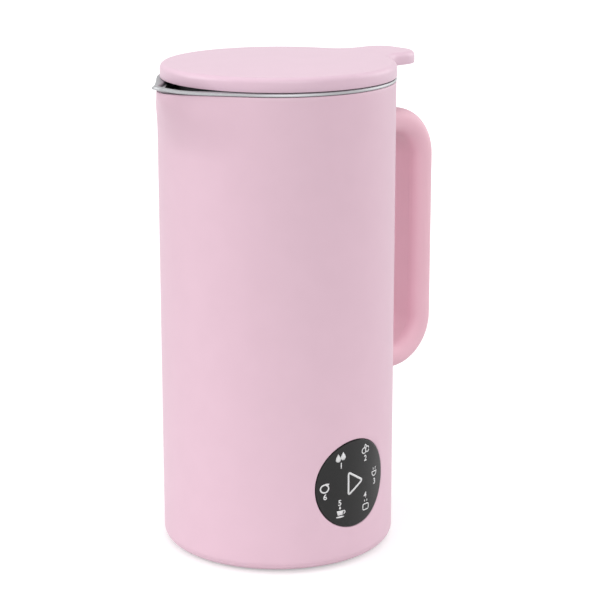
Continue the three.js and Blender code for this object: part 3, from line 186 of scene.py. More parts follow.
def make_piece(name, points, faces, material, body, stands_for=(), slot=None, closed=True):
    """A mesh piece from points in millimetres. Doubles are merged, faces turned outwards, and edges that bend
    more than the sharp angle shade hard."""
    mesh = bpy.data.meshes.new(name)
    mesh.from_pydata((np.asarray(points) * MM).tolist(), [], [list(map(int, f)) for f in faces])
    work = bmesh.new()
    work.from_mesh(mesh)
    bmesh.ops.remove_doubles(work, verts=work.verts, dist=1e-6)
    bmesh.ops.dissolve_degenerate(work, edges=work.edges, dist=1e-7)
    if closed:
        bmesh.ops.recalc_face_normals(work, faces=work.faces)
    work.to_mesh(mesh)
    work.free()
    mesh.shade_smooth()
    mesh.set_sharp_from_angle(angle=SHARP)
    mesh.materials.append(material)
    piece = bpy.data.objects.new(name, mesh)
    bpy.context.scene.collection.objects.link(piece)
    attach(piece, body)
    if stands_for:
        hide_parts(*stands_for)
    return piece


def hull(body, tip, centre=SPOUT_X):
    """Distance from the axis, at each turn, to a belt drawn round the body's circle and the spout's small tip
    circle: the body's radius, then the belt's straight run, then the tip's own circle."""
    lean = math.acos((body - tip) / centre)
    corner = math.atan2(tip * math.sin(lean), centre + tip * math.cos(lean))
    run = body / np.cos(np.clip(lean - AWAY, 0, lean - corner))
    nose = centre * np.cos(AWAY) + np.sqrt(np.maximum(tip ** 2 - (centre * np.sin(AWAY)) ** 2, 0))
    return np.where(AWAY >= lean, body, np.where(AWAY >= corner, run, nose))


def drawn(height):
    """How far the spout is drawn out at a height: a share that eases from nothing to one over the spout's
    drop, as three times its square less twice its cube."""
    share = np.clip((height - SHELL_TOP + SPOUT_DROP) / SPOUT_DROP, 0, 1)
    return share * share * (3 - 2 * share)


def wall_rings(radii, tips, heights, centres=SPOUT_X):
    """Rings about the axis, one for each height: the round radius with a soft swell under the spout, half a
    cosine wave across, that turns into the belt round the tip as the fourth power of the share drawn out."""
    radii, tips, heights, centres = np.broadcast_arrays(radii, tips, heights, centres)
    belts = np.stack([hull(*sizes) - sizes[0] for sizes in zip(radii, tips, centres)])
    swell = SWELL_HIGH * (0.5 + 0.5 * np.cos(np.minimum(AWAY / SWELL_SPAN, 1) * math.pi))
    share = drawn(heights)[:, None]
    return polar(radii[:, None] + share * (swell + (belts - swell) * share ** 4), TURNS, heights[:, None])


def block_outline(across, up):
    """Once round a block of grid lines from its first corner: along the first row, up the last column, back
    along the last row and down the first column."""
    edge, side = np.ones(len(across) - 1), np.ones(len(up) - 1)
    return (np.concatenate([across[:-1], side * across[-1], across[:0:-1], side * across[0]]),
            np.concatenate([edge * up[0], up[:-1], edge * up[-1], up[:0:-1]]))


def superellipse(across, up, half_wide, half_tall, power, share=1.0, grow=0.0):
    """Points moved along their rays from the middle towards a superellipse, where across over the half
    width and up over the half height, each to the power, add up to one. A share of one lands on it, grown
    by a length."""
    reach = (np.abs(across / half_wide) ** power + np.abs(up / half_tall) ** power) ** (-1 / power)
    scale = 1 + share * (reach * np.maximum(1 + grow / (np.hypot(across, up) * reach), 0) - 1)
    return across * scale, up * scale


def window_wall(turn, height, columns, levels, *shape):
    """The wall of one window: from its block's outline in to its edge, round that and through the wall."""
    across, up = block_outline((columns - turn) * BODY_R, levels - height)
    out, inner, soft, partway = BODY_R, BODY_R - WALL, EASE_SHARE * EASE, 0.6
    course = [(0, 0, out), (partway, 0, out), (1, EASE, out), (1, soft, out - soft), (1, 0, out - EASE),
              (1, 0, inner), (partway, 0, inner), (0, 0, inner)]
    rings = []
    for share, grow, radius in course:
        a, z = superellipse(across, up, *shape, share, grow)
        rings.append(polar(radius, turn + a / BODY_R, height + z))
    return np.stack(rings)


def make_shell():
    """The shell's closed profile carried round the axis, with the two windows' blocks left out and filled
    by the walls round each window."""
    foot = (BODY_R - BASE_ROUND, BASE_ROUND)
    base = np.concatenate([
        arc(foot, BASE_ROUND, -1, SEAM_TURN - SEAM_HALF, 7),
        arc(foot, BASE_ROUND - SEAM_DEEP, SEAM_TURN, SEAM_TURN, 0),
        arc(foot, BASE_ROUND, SEAM_TURN + SEAM_HALF, 0, 4),
    ])
    lower = np.linspace(BASE_ROUND, WINDOW_ROWS[0], 6)[1:-1]
    middle = np.linspace(WINDOW_ROWS[-1], SPOUT_ROWS[0], 22)[1:-1]
    rows = np.concatenate([lower, WINDOW_ROWS, middle, SPOUT_ROWS])
    inner, soft = BODY_R - WALL, EASE_SHARE * EASE
    radii, heights = np.concatenate([
        [(REBATE_R + EASE, 0.0)], base, [(BODY_R, z) for z in rows],
        [(BODY_R - soft, SHELL_TOP - soft), (BODY_R - EASE, SHELL_TOP)],
        [(inner + EASE, SHELL_TOP), (inner + soft, SHELL_TOP - soft)], [(inner, z) for z in rows[::-1]],
        [(inner, LEDGE_HIGH), (LEDGE_R, LEDGE_HIGH), (LEDGE_R, LEDGE_LOW)],
        [(REBATE_R, LEDGE_LOW), (REBATE_R, EASE)],
    ]).T
    depth = BODY_R - radii
    outside = depth < WALL / 2
    tips = np.where(outside, NOSE_R - depth, np.maximum(SPOUT_TIP - depth, NOSE_INSIDE_R))
    rings = wall_rings(radii, tips, heights, np.where(outside, NOSE_X, NOSE_INSIDE_X))
    points, faces = skin(rings, close_rows=True)
    keep = np.ones((len(heights), len(TURNS)), bool)
    ahead = np.roll(heights, -1)
    walls = []
    for turn, height, *shape, block_wide, block_tall in WINDOWS:
        columns = np.flatnonzero(np.abs(TURNS - turn) * BODY_R < block_wide + TINY)
        levels = WINDOW_ROWS[np.abs(WINDOW_ROWS - height) < block_tall + TINY]
        within = np.minimum(heights, ahead) > levels[0] - TINY
        within &= np.maximum(heights, ahead) < levels[-1] + TINY
        keep[np.ix_(within, columns[:-1])] = False
        walls.append(skin(window_wall(turn, height, TURNS[columns], levels, *shape)))
    return joined((points, faces[keep.ravel()]), *walls)


# Pink ABS from a spark-eroded mould: an even pastel with a soft, wide sheen and no mirror image. The real
# grain is about 0.1 mm and too fine to show, so it is drawn at 0.7 mm and very low.
PINK_ABS = moulded("abs_moulded_satin_pink", "debccb", "dcbac9", 0.5, IOR=1.54)
make_piece("body_shell", *make_shell(), PINK_ABS, "base", ["outer_shell"], "body_plastic")

# Touch panel. A dark acrylic disc, bent to the body and let in flush, with its icons screen-printed in pale
# ink. Its edge is eased and a fine line runs round it where the body's window shows.
PANEL_PROUD, PANEL_EASE, PANEL_SIDES = 0.1, 0.4, 128
PANEL_FRONT, PANEL_INNER = BODY_R + PANEL_PROUD, BODY_R - WALL + FIT
FRONT_SHARES, BACK_SHARES = (0.02, 0.25, 0.5, 0.75, 0.96), (1, 0.5, 0.02)


def on_panel(across, up, radius):
    """A point of the flat drawing laid on a cylinder about the axis, across as an arc from the middle."""
    return polar(radius, PANEL_TURN + across / BODY_R, PANEL_Z + up)


def capped(rings):
    """Points and faces of a tube of rings, with a flat cap on each end."""
    points, faces = skin(rings)
    around = rings.shape[1]
    return points, faces.tolist() + [list(range(around)), list(range(len(points) - around, len(points)))]


def make_panel():
    """Circles about the panel's middle laid on the cylinder: out over the front, round and in behind."""
    across, up = arc((0, 0), PANEL_R, steps=PANEL_SIDES)[:-1].T
    ease, soft = PANEL_EASE, EASE_SHARE * PANEL_EASE
    course = [(share, PANEL_FRONT) for share in FRONT_SHARES]
    course += [(1 - ease / PANEL_R, PANEL_FRONT), (1 - soft / PANEL_R, PANEL_FRONT - soft),
               (1, PANEL_FRONT - ease)]
    course += [(share, PANEL_INNER) for share in BACK_SHARES]
    return capped(np.stack([on_panel(share * across, share * up, radius) for share, radius in course]))


def make_smoked(name):
    """Smoke-tinted acrylic: nearly black, with a faint cloud in its depth, fine wiping marks in its gloss and
    a soft mirror of the room that an anti-glare coat keeps low and that grows towards a slanting view."""
    material, tree, place = start_material(name, IOR=1.49, Specular_IOR_Level=0.4)
    cloud = add(tree, "TexNoise", {"Scale": 1 / (20 * MM), "Detail": 2.0}, {"Vector": place}).outputs["Fac"]
    along = add(tree, "Mapping", {"Scale": (1.0, 1.0, 6.0)}, {"Vector": place}).outputs["Vector"]
    wipe = add(tree, "TexNoise", {"Scale": 1 / (6 * MM), "Detail": 4.0}, {"Vector": along}).outputs["Fac"]
    return end_material(material, cloud, [(0.3, "070707"), (0.7, "0c0c0c")], wipe, (0.2, 0.3))


SMOKED_ACRYLIC = make_smoked("acrylic_smoke_tinted")
make_piece("touch_lens", *make_panel(), SMOKED_ACRYLIC, "base", ["control_panel"], "panel_plastic")

# Printed icons and numbers. A few hundredths of a millimetre of pale ink on the lens: a start triangle in the
# middle and six programmes round it, each a plain drawing of what it makes with a number by it.
INK_LIFT, INK_THICK = 0.03, 0.04
INK_R = PANEL_FRONT + INK_LIFT
INK_FINE, INK_MEDIUM, INK_BOLD, FILLED = 0.55, 0.75, 1.05, 0
DROP_PINCH, DROP_RISE, BEAN_GAP_SHARE = 0.55, 0.9, 1 / 7
DIGIT_TALL, DIGIT_BOLD = 3.0, 0.1
# A digit's height as a share of the font's size
DIGIT_SHARE = 0.72


def unit(steps):
    """Each step as a direction of length one."""
    return steps / np.linalg.norm(steps, axis=1, keepdims=True)


def stroke(path, width, closed):
    """A ribbon along a flat path: each point gives two, set off to both sides along the path's normal."""
    ahead, behind = np.roll(path, -1, 0) - path, path - np.roll(path, 1, 0)
    if not closed:
        ahead[-1], behind[0] = behind[-1], ahead[0]
    along = unit(unit(ahead) + unit(behind))
    off = np.stack([-along[:, 1], along[:, 0]], -1) * width / 2
    return np.stack([path - off, path + off])


def dense(points, closed, step=0.4):
    """The same path with points every step along its straight runs, so that it can bend."""
    points = np.asarray(points, float)
    ends = np.roll(points, -1, 0) if closed else points[1:]
    runs = []
    for a, b in zip(points, ends):
        count = max(int(np.hypot(*(b - a)) / step), 1)
        runs.append(a + (b - a) * np.linspace(0, 1, count, endpoint=False)[:, None])
    return np.concatenate(runs if closed else [*runs, points[-1:]])


def rounded(points, radius, steps=6):
    """A closed outline with each corner rounded by a curve that leaves and meets the sides at the radius."""
    points = np.asarray(points, float)
    before, after = unit(np.roll(points, 1, 0) - points), unit(np.roll(points, -1, 0) - points)
    t = np.linspace(0, 1, steps + 1)[None, :, None]
    a, b = (points + before * radius)[:, None], (points + after * radius)[:, None]
    return (a * (1 - t) ** 2 + points[:, None] * 2 * t * (1 - t) + b * t ** 2).reshape(-1, 2)


def oval(x, y, wide, tall):
    """A whole ellipse about a place, by its half sizes."""
    return arc((x, y), (wide, tall))[:-1]


def bean(x, y, wide, tall):
    """An ellipse left open by a gap at its right that reaches a share of a quarter turn to both sides."""
    return arc((x, y), (wide, tall), BEAN_GAP_SHARE, 4 - BEAN_GAP_SHARE, 26)


def drop(x, y, size):
    """A drop: a circle whose upper half is pinched and drawn up to a point with the cube of the sine."""
    across, up = arc((0, 0), 1, -1, 3, 24)[:-1].T
    lift = np.maximum(up, 0) ** 3
    return np.stack([x + size * across * (1 - DROP_PINCH * lift), y + size * (up + DROP_RISE * lift)], -1)


# Each mark: its path in millimetres from the panel's middle, whether it closes, and its line's width
MARKS = [
    (rounded([(-3.9, 6.4), (-3.9, -5.4), (5.4, 0.6)], 1.5), True, INK_BOLD),
    (drop(-10.1, 14.3, 1.45), True, FILLED),
    (drop(-7.2, 15.0, 1.45), True, FILLED),
    (bean(6.6, 15.4, 1.5, 1.4), False, INK_FINE),
    (bean(8.9, 15.8, 1.3, 1.4), False, INK_FINE),
    ([(6.9, 16.9), (7.5, 18.6), (8.6, 17.3)], False, INK_FINE),
    (arc((14.9, 2.4), (1.9, 2.3), -2, 0), False, INK_FINE),
    ([(12.8, 2.4), (17.0, 2.4)], False, INK_FINE),
    ([(14.2, 3.3), (14.0, 4.6)], False, INK_FINE),
    ([(15.9, 3.3), (16.1, 4.6)], False, INK_FINE),
    (rounded([(6.0, -12.9), (6.0, -15.9), (10.2, -15.9), (10.2, -12.9)], 0.9), True, INK_FINE),
    ([(7.2, -11.6), (7.2, -10.6)], False, INK_FINE),
    ([(9.0, -11.6), (9.0, -10.6)], False, INK_FINE),
    ([(-10.9, -12.6), (-10.3, -15.0), (-7.5, -15.0), (-6.9, -12.6)], True, FILLED),
    (oval(-8.9, -15.9, 2.4, 0.45), True, FILLED),
    (arc((-6.9, -13.6), (0.9, 0.8), -1, 1, 12), False, INK_FINE),
    (drop(-9.0, -11.3, 0.6), True, FILLED),
    (oval(-17.7, 0.3, 2.2, 2.0), True, INK_MEDIUM),
    (arc((-16.4, 2.6), (1.0, 0.6), -2, 0, 10), True, INK_FINE),
]
NUMBERS = [("1", -8.4, 10.7), ("2", 7.6, 11.2), ("3", 15.2, -3.0), ("4", 7.6, -8.3), ("5", -9.1, -8.6),
           ("6", -17.4, -4.2)]


def printed_digit(text, x, y):
    """A digit from the built-in font as flat faces, centred on its place."""
    curve = bpy.data.curves.new("digit", "FONT")
    curve.body, curve.align_x, curve.align_y = text, "CENTER", "CENTER"
    curve.size, curve.resolution_u, curve.offset = DIGIT_TALL / DIGIT_SHARE, 4, DIGIT_BOLD
    holder = bpy.data.objects.new("digit", curve)
    mesh = holder.to_mesh()
    flat = np.array([v.co[:2] for v in mesh.vertices]) + (x, y)
    faces = [list(p.vertices) for p in mesh.polygons]
    holder.to_mesh_clear()
    bpy.data.objects.remove(holder)
    bpy.data.curves.remove(curve)
    return flat, faces


def make_print():
    """Every ribbon, filled shape and digit laid on the lens, gathered in one sheet of ink. A filled shape
    runs from its outline in to its middle."""
    shapes = []
    for path, closed, width in MARKS:
        path = dense(path, closed)
        ribbon = stroke(path, width, closed) if width else np.stack([path, path * 0 + path.mean(0)])
        shapes.append(skin(ribbon, close_columns=closed))
    flat, faces = joined(*shapes, *[printed_digit(*number) for number in NUMBERS])
    return on_panel(flat[:, 0], flat[:, 1], INK_R), faces


# Screen-printed ink: an off-white that is a little uneven where the mesh of the screen left it thinner.
def make_ink(name):
    """Pale ink whose tone varies over the half-millimetre mesh of the printing screen."""
    material, tree, place = start_material(name, IOR=1.5, Roughness=0.5)
    screen = add(tree, "TexNoise", {"Scale": 1 / (0.5 * MM), "Detail": 1.0}, {"Vector": place}).outputs["Fac"]
    return end_material(material, screen, [(0.3, "d4d4d5"), (0.7, "e6e6e7")])


PALE_INK = make_ink("ink_screen_printed_white")
ink = make_piece("printed_icons", *make_print(), PALE_INK, "base", slot="panel_plastic", closed=False)
layer = ink.modifiers.new("ink_thickness", "SOLIDIFY")
layer.thickness, layer.offset = INK_THICK * MM, 0.0

# Panel frame and touch board. Behind the lens a black moulded ring stands on the body's inner wall, with the
# small glass-epoxy board that senses the finger pushed in behind it. Both show only where the body is cut.
def dress(material, *names):
    """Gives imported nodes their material."""
    for name in names:
        for place in nodes[name].material_slots:
            place.material = material


def printed_board(name):
    """Glass-epoxy laminate under solder mask: square cells, of which the rims stand out as lighter tracks,
    the middles as small pads of solder, over a weave that leaves fine bumps."""
    material, tree, place = start_material(name, IOR=1.55)
    cells = add(tree, "TexVoronoi", {"Scale": 1 / (4 * MM)}, {"Vector": place}, distance="CHEBYCHEV")
    weave = add(tree, "TexNoise", {"Scale": 1 / (0.6 * MM), "Detail": 1.0}, {"Vector": place}).outputs["Fac"]
    tones = [(0.1, "bdbfb6"), (0.13, "1f5c38"), (0.4, "1f5c38"), (0.44, "35794c")]
    return end_material(material, cells.outputs["Distance"], tones, weave, (0.32, 0.48), weave, 0.4, 0.01)


# Black polypropylene from a matt mould: dark grey, dull, with a coarse soft grain.
DARK_PP = moulded("polypropylene_moulded_matt_black", "414144", "38383b", 0.6, 0.9, 0.012, IOR=1.49)
# Circuit board: deep green with paler tracks and dull silver pads.
GREEN_BOARD = printed_board("glass_epoxy_solder_masked_green")
dress(DARK_PP, "panel_frame")
dress(GREEN_BOARD, "touch_board")

# Handle. A hollow ABS loop, moulded open along its inner side, closed by a strip pressed into the opening and
# held by a screw from inside the body at each end. It bends in even curves and its edges are well rounded.
ARM_R = BODY_R + FIT
HANDLE_REACH = 99.7
HANDLE_TOP, HANDLE_LOW = 215.4, 76.1
HANDLE_THICK, HANDLE_WIDE, HANDLE_WALL = 13.4, 24.0, 2.4
HANDLE_BEND, HANDLE_EDGE = 26.5, 6.2
STRIP_HALF, STRIP_THICK, STRIP_FIT, STRIP_EASE = 5.8, 2.0, 0.04, 0.05
CAVITY_HALF = 4.3


def handle_rings(section):
    """The section carried along the handle: out along the upper arm from the body's round wall, down the grip
    through two even bends, and back along the lower arm to the wall. The section is outward and across."""
    out, across = np.asarray(section).T
    half = HANDLE_THICK / 2
    centre_x, bend = HANDLE_REACH - HANDLE_BEND, HANDLE_BEND - half
    turn = np.linspace(math.pi / 2, 0, 19)
    level = HANDLE_TOP - HANDLE_BEND + bend * np.sin(turn)
    upper = np.stack([centre_x + bend * np.cos(turn), level, turn], -1)
    lower = upper[::-1] * (1, -1, -1) + (0, HANDLE_LOW + HANDLE_TOP, 0)
    grip = np.linspace(upper[-1], lower[0], 14)[1:-1]
    x, z, angle = np.concatenate([upper, grip, lower]).T[:, :, None]
    bent = np.stack(np.broadcast_arrays(x + out * np.cos(angle), across, z + out * np.sin(angle)), -1)
    root = np.sqrt(ARM_R ** 2 - across ** 2)
    run = root + (centre_x - root) * np.linspace(0, 1, 5, endpoint=False)[:, None]
    first = np.stack(np.broadcast_arrays(run, across, HANDLE_TOP - half + out), -1)
    last = np.stack(np.broadcast_arrays(run, across, HANDLE_LOW + half - out), -1)
    return np.concatenate([first, bent, last[::-1]])


def mirrored(side):
    """An outline by its one side: the side's points, and back along their mirror image across the middle."""
    side = np.asarray(side)
    return np.concatenate([side, side[::-1] * (1, -1)])


def handle_section():
    """The rounded outline of the grip, let in along its inner side for the strip, with a cavity behind it."""
    half, r, side = HANDLE_THICK / 2, HANDLE_EDGE, HANDLE_WIDE / 2 - HANDLE_EDGE
    seat = STRIP_THICK + STRIP_FIT - half
    return mirrored([
        *arc((half - r, side), r, 0, 1, 8), *arc((r - half, side), r, 1, 2, 8)[:-1],
        (-half, STRIP_HALF + STRIP_EASE), (-half + STRIP_EASE, STRIP_HALF),
        (seat, STRIP_HALF), (seat, CAVITY_HALF), (half - HANDLE_WALL, CAVITY_HALF),
    ])


def strip_section():
    """A flat strip with eased outer edges."""
    low, side = -HANDLE_THICK / 2, STRIP_HALF - STRIP_FIT
    return mirrored([(low + STRIP_THICK, side), (low + STRIP_EASE, side), (low, side - STRIP_EASE)])


# The same satin ABS as the body, painted a fuller, warmer pink than it as painted shade: the deeper pink
# stands in for the shaded inner face and the pink light thrown onto it from the body.
HANDLE_ABS = moulded("abs_moulded_satin_warm_pink", "e5b6c4", "e3b4c2", 0.52, IOR=1.54)
for piece, node, section in [("handle_loop", "handle_shell", handle_section()),
                             ("handle_cover_strip", "handle_strip", strip_section())]:
    make_piece(piece, *capped(handle_rings(section)), HANDLE_ABS, "base", [node], "body_plastic")


def spun_metal(name, light, dark, rough, pitch):
    """Metal brushed or turned about the vertical axis: fine lines that follow rings of one radius and
    height, in its tone, its gloss and its bumps."""
    material, tree, place = start_material(name, Metallic=1.0)
    parts = add(tree, "SeparateXYZ", links={"Vector": place}).outputs
    flat = add(tree, "CombineXYZ", links={"X": parts["X"], "Y": parts["Y"]}).outputs["Vector"]
    radius = add(tree, "VectorMath", links={0: flat}, operation="LENGTH").outputs["Value"]
    ring = add(tree, "CombineXYZ", links={"X": radius, "Z": parts["Z"]}).outputs["Vector"]
    lines = add(tree, "TexNoise", {"Scale": 1 / (pitch * MM), "Detail": 4.0}, {"Vector": ring}).outputs["Fac"]
    return end_material(material, lines, [(0.3, dark), (0.7, light)], lines, (rough - 0.06, rough + 0.06),
                        lines, 0.4, 0.004)


# Zinc-plated steel, turned and then plated: a cool pale grey with faint turning rings under the plating.
ZINC_STEEL = spun_metal("steel_turned_zinc_plated", "cdd1d6", "b2b7be", 0.36, 0.5)
dress(ZINC_STEEL, "handle_screw_upper", "handle_screw_lower")

# Power inlet. A black housing pushed through the body's wall from inside until its flange meets the wall,
# with three flat pins that stand in its back wall and reach out to the cord's plug.
INLET_FRONT, INLET_BACK = 57.08, 38.1
INLET_FLANGE, FLANGE_THICK, FLANGE_OUT = 53.78, 2.4, 3.0
INLET_SKIN, INLET_EDGE = 2.4, 0.5
PLATE_GAP = 0.03
PIN_HALF_W, PIN_HALF_T, PIN_POWER = 2.0, 1.0, 8
PIN_FROM, PIN_TO = 35.1, 53.4
PINS = [("line", -7.0, 30.5), ("neutral", 7.0, 30.5), ("earth", 0.0, 33.5)]
# Along a pin: the place, and how much slimmer than its middle it is there on every side
PIN_COURSE = [(PIN_FROM, 0.2), (PIN_FROM + 0.2, 0.0), (PIN_TO - 1.4, 0.0), (PIN_TO - 0.3, 0.5), (PIN_TO, 0.8)]


def full_turn(sides):
    """The turns of a ring's points."""
    return np.linspace(0, 2 * math.pi, sides, endpoint=False)


def tube_along_x(course, half_wide, half_tall, y, z, power, sides=96):
    """Rings across X about a line at y and z, by a course of place and inset: each a superellipse of the half
    sizes less the inset."""
    across, up = np.cos(full_turn(sides)), np.sin(full_turn(sides))
    rings = []
    for x, inset in course:
        a, b = superellipse(across, up, half_wide - inset, half_tall - inset, power)
        rings.append(np.stack([np.full(sides, x), y + a, z + b], -1))
    return np.stack(rings)


def grid_lines(low, high, middles, gap):
    """The lines of a grid from one edge to the other, with a line at both sides of each gap."""
    return np.unique(np.round([low, high] + [middle + side for middle in middles for side in (-gap, gap)], 4))


def make_housing():
    """The housing's closed section carried round: back part, flange, front, rim and socket. The back wall
    is a plate on a grid, open at the cells that the pins pass."""
    wide, tall = INLET_HALF_W - FIT, INLET_HALF_T - FIT
    back, front, flange = INLET_BACK, INLET_FRONT, INLET_FLANGE - FLANGE_THICK
    slim, room, edge, soft = INLET_SKIN / 2, INLET_SKIN, INLET_EDGE, EASE_SHARE * INLET_EDGE
    course = [(back, slim), (flange, slim), (flange, -FLANGE_OUT), (INLET_FLANGE, -FLANGE_OUT),
              (INLET_FLANGE, 0), (front - edge, 0), (front - soft, soft), (front, edge), (front, room - edge),
              (front - soft, room - soft), (front - edge, room), (back, room)]
    rings = tube_along_x(course, wide, tall, 0.0, INLET_Z, INLET_POWER)
    plate_y, plate_z = wide - room - PLATE_GAP, tall - room - PLATE_GAP
    gap_y, gap_z = PIN_HALF_W + FIT, PIN_HALF_T + FIT
    y = grid_lines(-plate_y, plate_y, [at_y for _, at_y, _ in PINS], gap_y)
    z = grid_lines(INLET_Z - plate_z, INLET_Z + plate_z, [at_z for *_, at_z in PINS], gap_z)
    mid_y, mid_z = (y[1:] + y[:-1]) / 2, (z[1:] + z[:-1]) / 2
    solid = np.ones((len(mid_y), len(mid_z)), bool)
    for _, at_y, at_z in PINS:
        solid &= ~((np.abs(mid_y - at_y) < gap_y)[:, None] & (np.abs(mid_z - at_z) < gap_z))
    grid = np.stack(np.meshgrid([back + PLATE_GAP, back + INLET_SKIN], y, z, indexing="ij"), -1)
    number = np.arange(grid[..., 0].size).reshape(grid.shape[:3])
    walls = [np.stack([n[:-1, :-1], n[1:, :-1], n[1:, 1:], n[:-1, 1:]], -1)[solid] for n in number]
    padded = np.pad(solid, 1)
    sides = [(0, padded[1:, 1:-1], padded[:-1, 1:-1]), (1, padded[1:-1, 1:], padded[1:-1, :-1])]
    for step, here, there in sides:
        i, j = np.nonzero(here != there)
        i_next, j_next = i + step, j + 1 - step
        walls.append(np.stack([number[0, i, j], number[0, i_next, j_next], number[1, i_next, j_next],
                               number[1, i, j]], -1))
    return joined(skin(rings, close_rows=True), (grid.reshape(-1, 3), np.concatenate(walls)))


make_piece("inlet_housing", *make_housing(), DARK_PP, "base", ["power_inlet"], "dark_plastic")
# Brass, turned or stamped bare: warm yellow with fine tool lines.
BRASS = spun_metal("brass_machined_bare", "d2b169", "b9954f", 0.3, 0.4)
for pin, at_y, at_z in PINS:
    rings = tube_along_x(PIN_COURSE, PIN_HALF_W, PIN_HALF_T, at_y, at_z, PIN_POWER, 40)
    make_piece(pin + "_contact", *capped(rings), BRASS, "base", [pin + "_pin"], "brass")

# Steel jug. Deep-drawn stainless sheet, 1 mm thick, brushed round its wall. Its rim is turned out over the
# body's upper edge and drawn into a pouring lip at the spout, and three studs carry what hangs below.
JUG_R, JUG_TIP, JUG_WALL = 52.5, 4.2, 1.0
JUG_LOW, JUG_CORNER, JUG_HOLE = 100.1, 8.0, 8.9
RIM_LOW, RIM_TOP = 236.5, 237.9
RIM_OVER, RIM_ROUND, RIM_EASE, RIM_LIP = 0.13, 0.6, 0.15, 2.0
LIP_FLARE, LIP_RISE = 2.2, 2.0
STUD_R, STUD_CIRCLE, STUD_LOW, STUD_LET_IN = 2.0, 42.4, 80.4, 0.5
THIRDS = np.radians([30, 150, 270])
# From the rim's inner edge down into the jug: how far down, and how far in
RIM_INSIDE = [(0.0, 0.0), (0.3, 0.5), (0.9, 0.8)]
# How much of the spout there is at each turn, from nothing on the round body to one at its tip
SPOUT_SHARES = (hull(BODY_R, SPOUT_TIP) - BODY_R) / SPOUT_REACH


def rim_ring(inset, height):
    """The rim's edge: the belt round the body drawn in by an inset, flaring with the spout's share and rising
    with its cube."""
    reach = hull(BODY_R + RIM_OVER - inset, SPOUT_TIP + RIM_OVER - inset) + LIP_FLARE * SPOUT_SHARES
    return polar(reach, TURNS, height + LIP_RISE * SPOUT_SHARES ** 3)


def rim_inner_ring(down, inset):
    """The inner edge of the rim's flat: close to the jug's wall, but a lip's width from the spout's edge."""
    wall = hull(JUG_R - inset, JUG_TIP - inset)
    lip = hull(BODY_R, SPOUT_TIP) + LIP_FLARE * SPOUT_SHARES - RIM_LIP - inset
    reach = wall + (lip - wall) * (1 - (1 - SPOUT_SHARES) ** 3)
    return polar(reach, TURNS, RIM_TOP - down + LIP_RISE * SPOUT_SHARES ** 3)


def turned(profile, sides=96):
    """A profile of radius and height carried round the axis. It ends on the axis or closes on itself."""
    radius, height = np.asarray(profile, float).T[:, :, None]
    return skin(polar(radius, full_turn(sides), height), close_rows=radius[0, 0] > TINY)


def make_jug():
    """The cup's closed profile carried round the axis, with the rim's rings in their place, and three studs.
    The inside wall leaves out its top rows, so that it runs smoothly into the rim."""
    bend, floor = (JUG_R - JUG_CORNER, JUG_LOW + JUG_CORNER), JUG_LOW + JUG_WALL
    outer = arc(bend, JUG_CORNER, -1, 0, 12)
    inner = arc(bend, JUG_CORNER - JUG_WALL, 0, -1, 12)
    levels = np.concatenate([np.linspace(outer[-1, 1], SPOUT_ROWS[0], 16)[1:-1], SPOUT_ROWS])
    bead = RIM_ROUND * (1 - math.sqrt(0.5))
    rims = [(RIM_EASE, RIM_LOW), (0, RIM_LOW + RIM_EASE), (0, RIM_TOP - RIM_ROUND), (bead, RIM_TOP - bead),
            (RIM_ROUND, RIM_TOP)]
    cup = np.concatenate([
        wall_rings(outer[:, 0], JUG_TIP, outer[:, 1]),
        wall_rings(JUG_R, JUG_TIP, [*levels, RIM_LOW]),
        [rim_ring(*place) for place in rims],
        [rim_inner_ring(*place) for place in RIM_INSIDE],
        wall_rings(JUG_R - JUG_WALL, JUG_TIP - JUG_WALL, levels[-4::-1]),
        wall_rings(inner[:, 0], JUG_TIP, inner[:, 1]),
        wall_rings(JUG_HOLE, JUG_TIP / 2, [floor, JUG_LOW]),
    ])
    high = JUG_LOW + STUD_LET_IN
    stud, faces = turned([(0, STUD_LOW), (STUD_R, STUD_LOW), (STUD_R, high), (0, high)], 24)
    studs = [(stud + polar(STUD_CIRCLE, turn, 0), faces) for turn in THIRDS]
    return joined(skin(cup, close_rows=True), *studs)


# Stainless steel, brushed with an abrasive belt as the cup spins: cool grey with fine level lines. The real
# lines are about 0.1 mm apart and are drawn at 0.5 mm to show.
BRUSHED_STEEL = spun_metal("stainless_steel_brushed", "aeaeb0", "9c9da0", 0.5, 0.5)
make_piece("steel_jug", *make_jug(), BRUSHED_STEEL, "base", ["inner_jug"], "steel")

# Blade seat. A turned stainless bushing let down into the jug's floor and drawn tight by a brass nut from
# below. A rubber seal pressed into its top and a brass bush in its neck hold the shaft.
SEAT_NECK, SEAT_FLANGE, SEAT_BOSS = 8.6, 15.0, 9.5
SEAT_LOW, SEAT_Z, SEAT_SHOULDER, SEAT_TOP = 92.1, 101.4, 103.9, 109.4
SEAT_EDGE, SEAT_FILLET, BOSS_EDGE, POCKET_EASE = 1.0, 1.2, 0.8, 0.2
SEAL_POCKET, BUSH_POCKET = 7.2, 5.8
SEAL_HOLE, SEAL_R, SEAL_EASE = 3.3, 6.9, 0.3
SEAL_LIP, LIP_TOP, LIP_TIP = 1.6, 1.2, 1.5


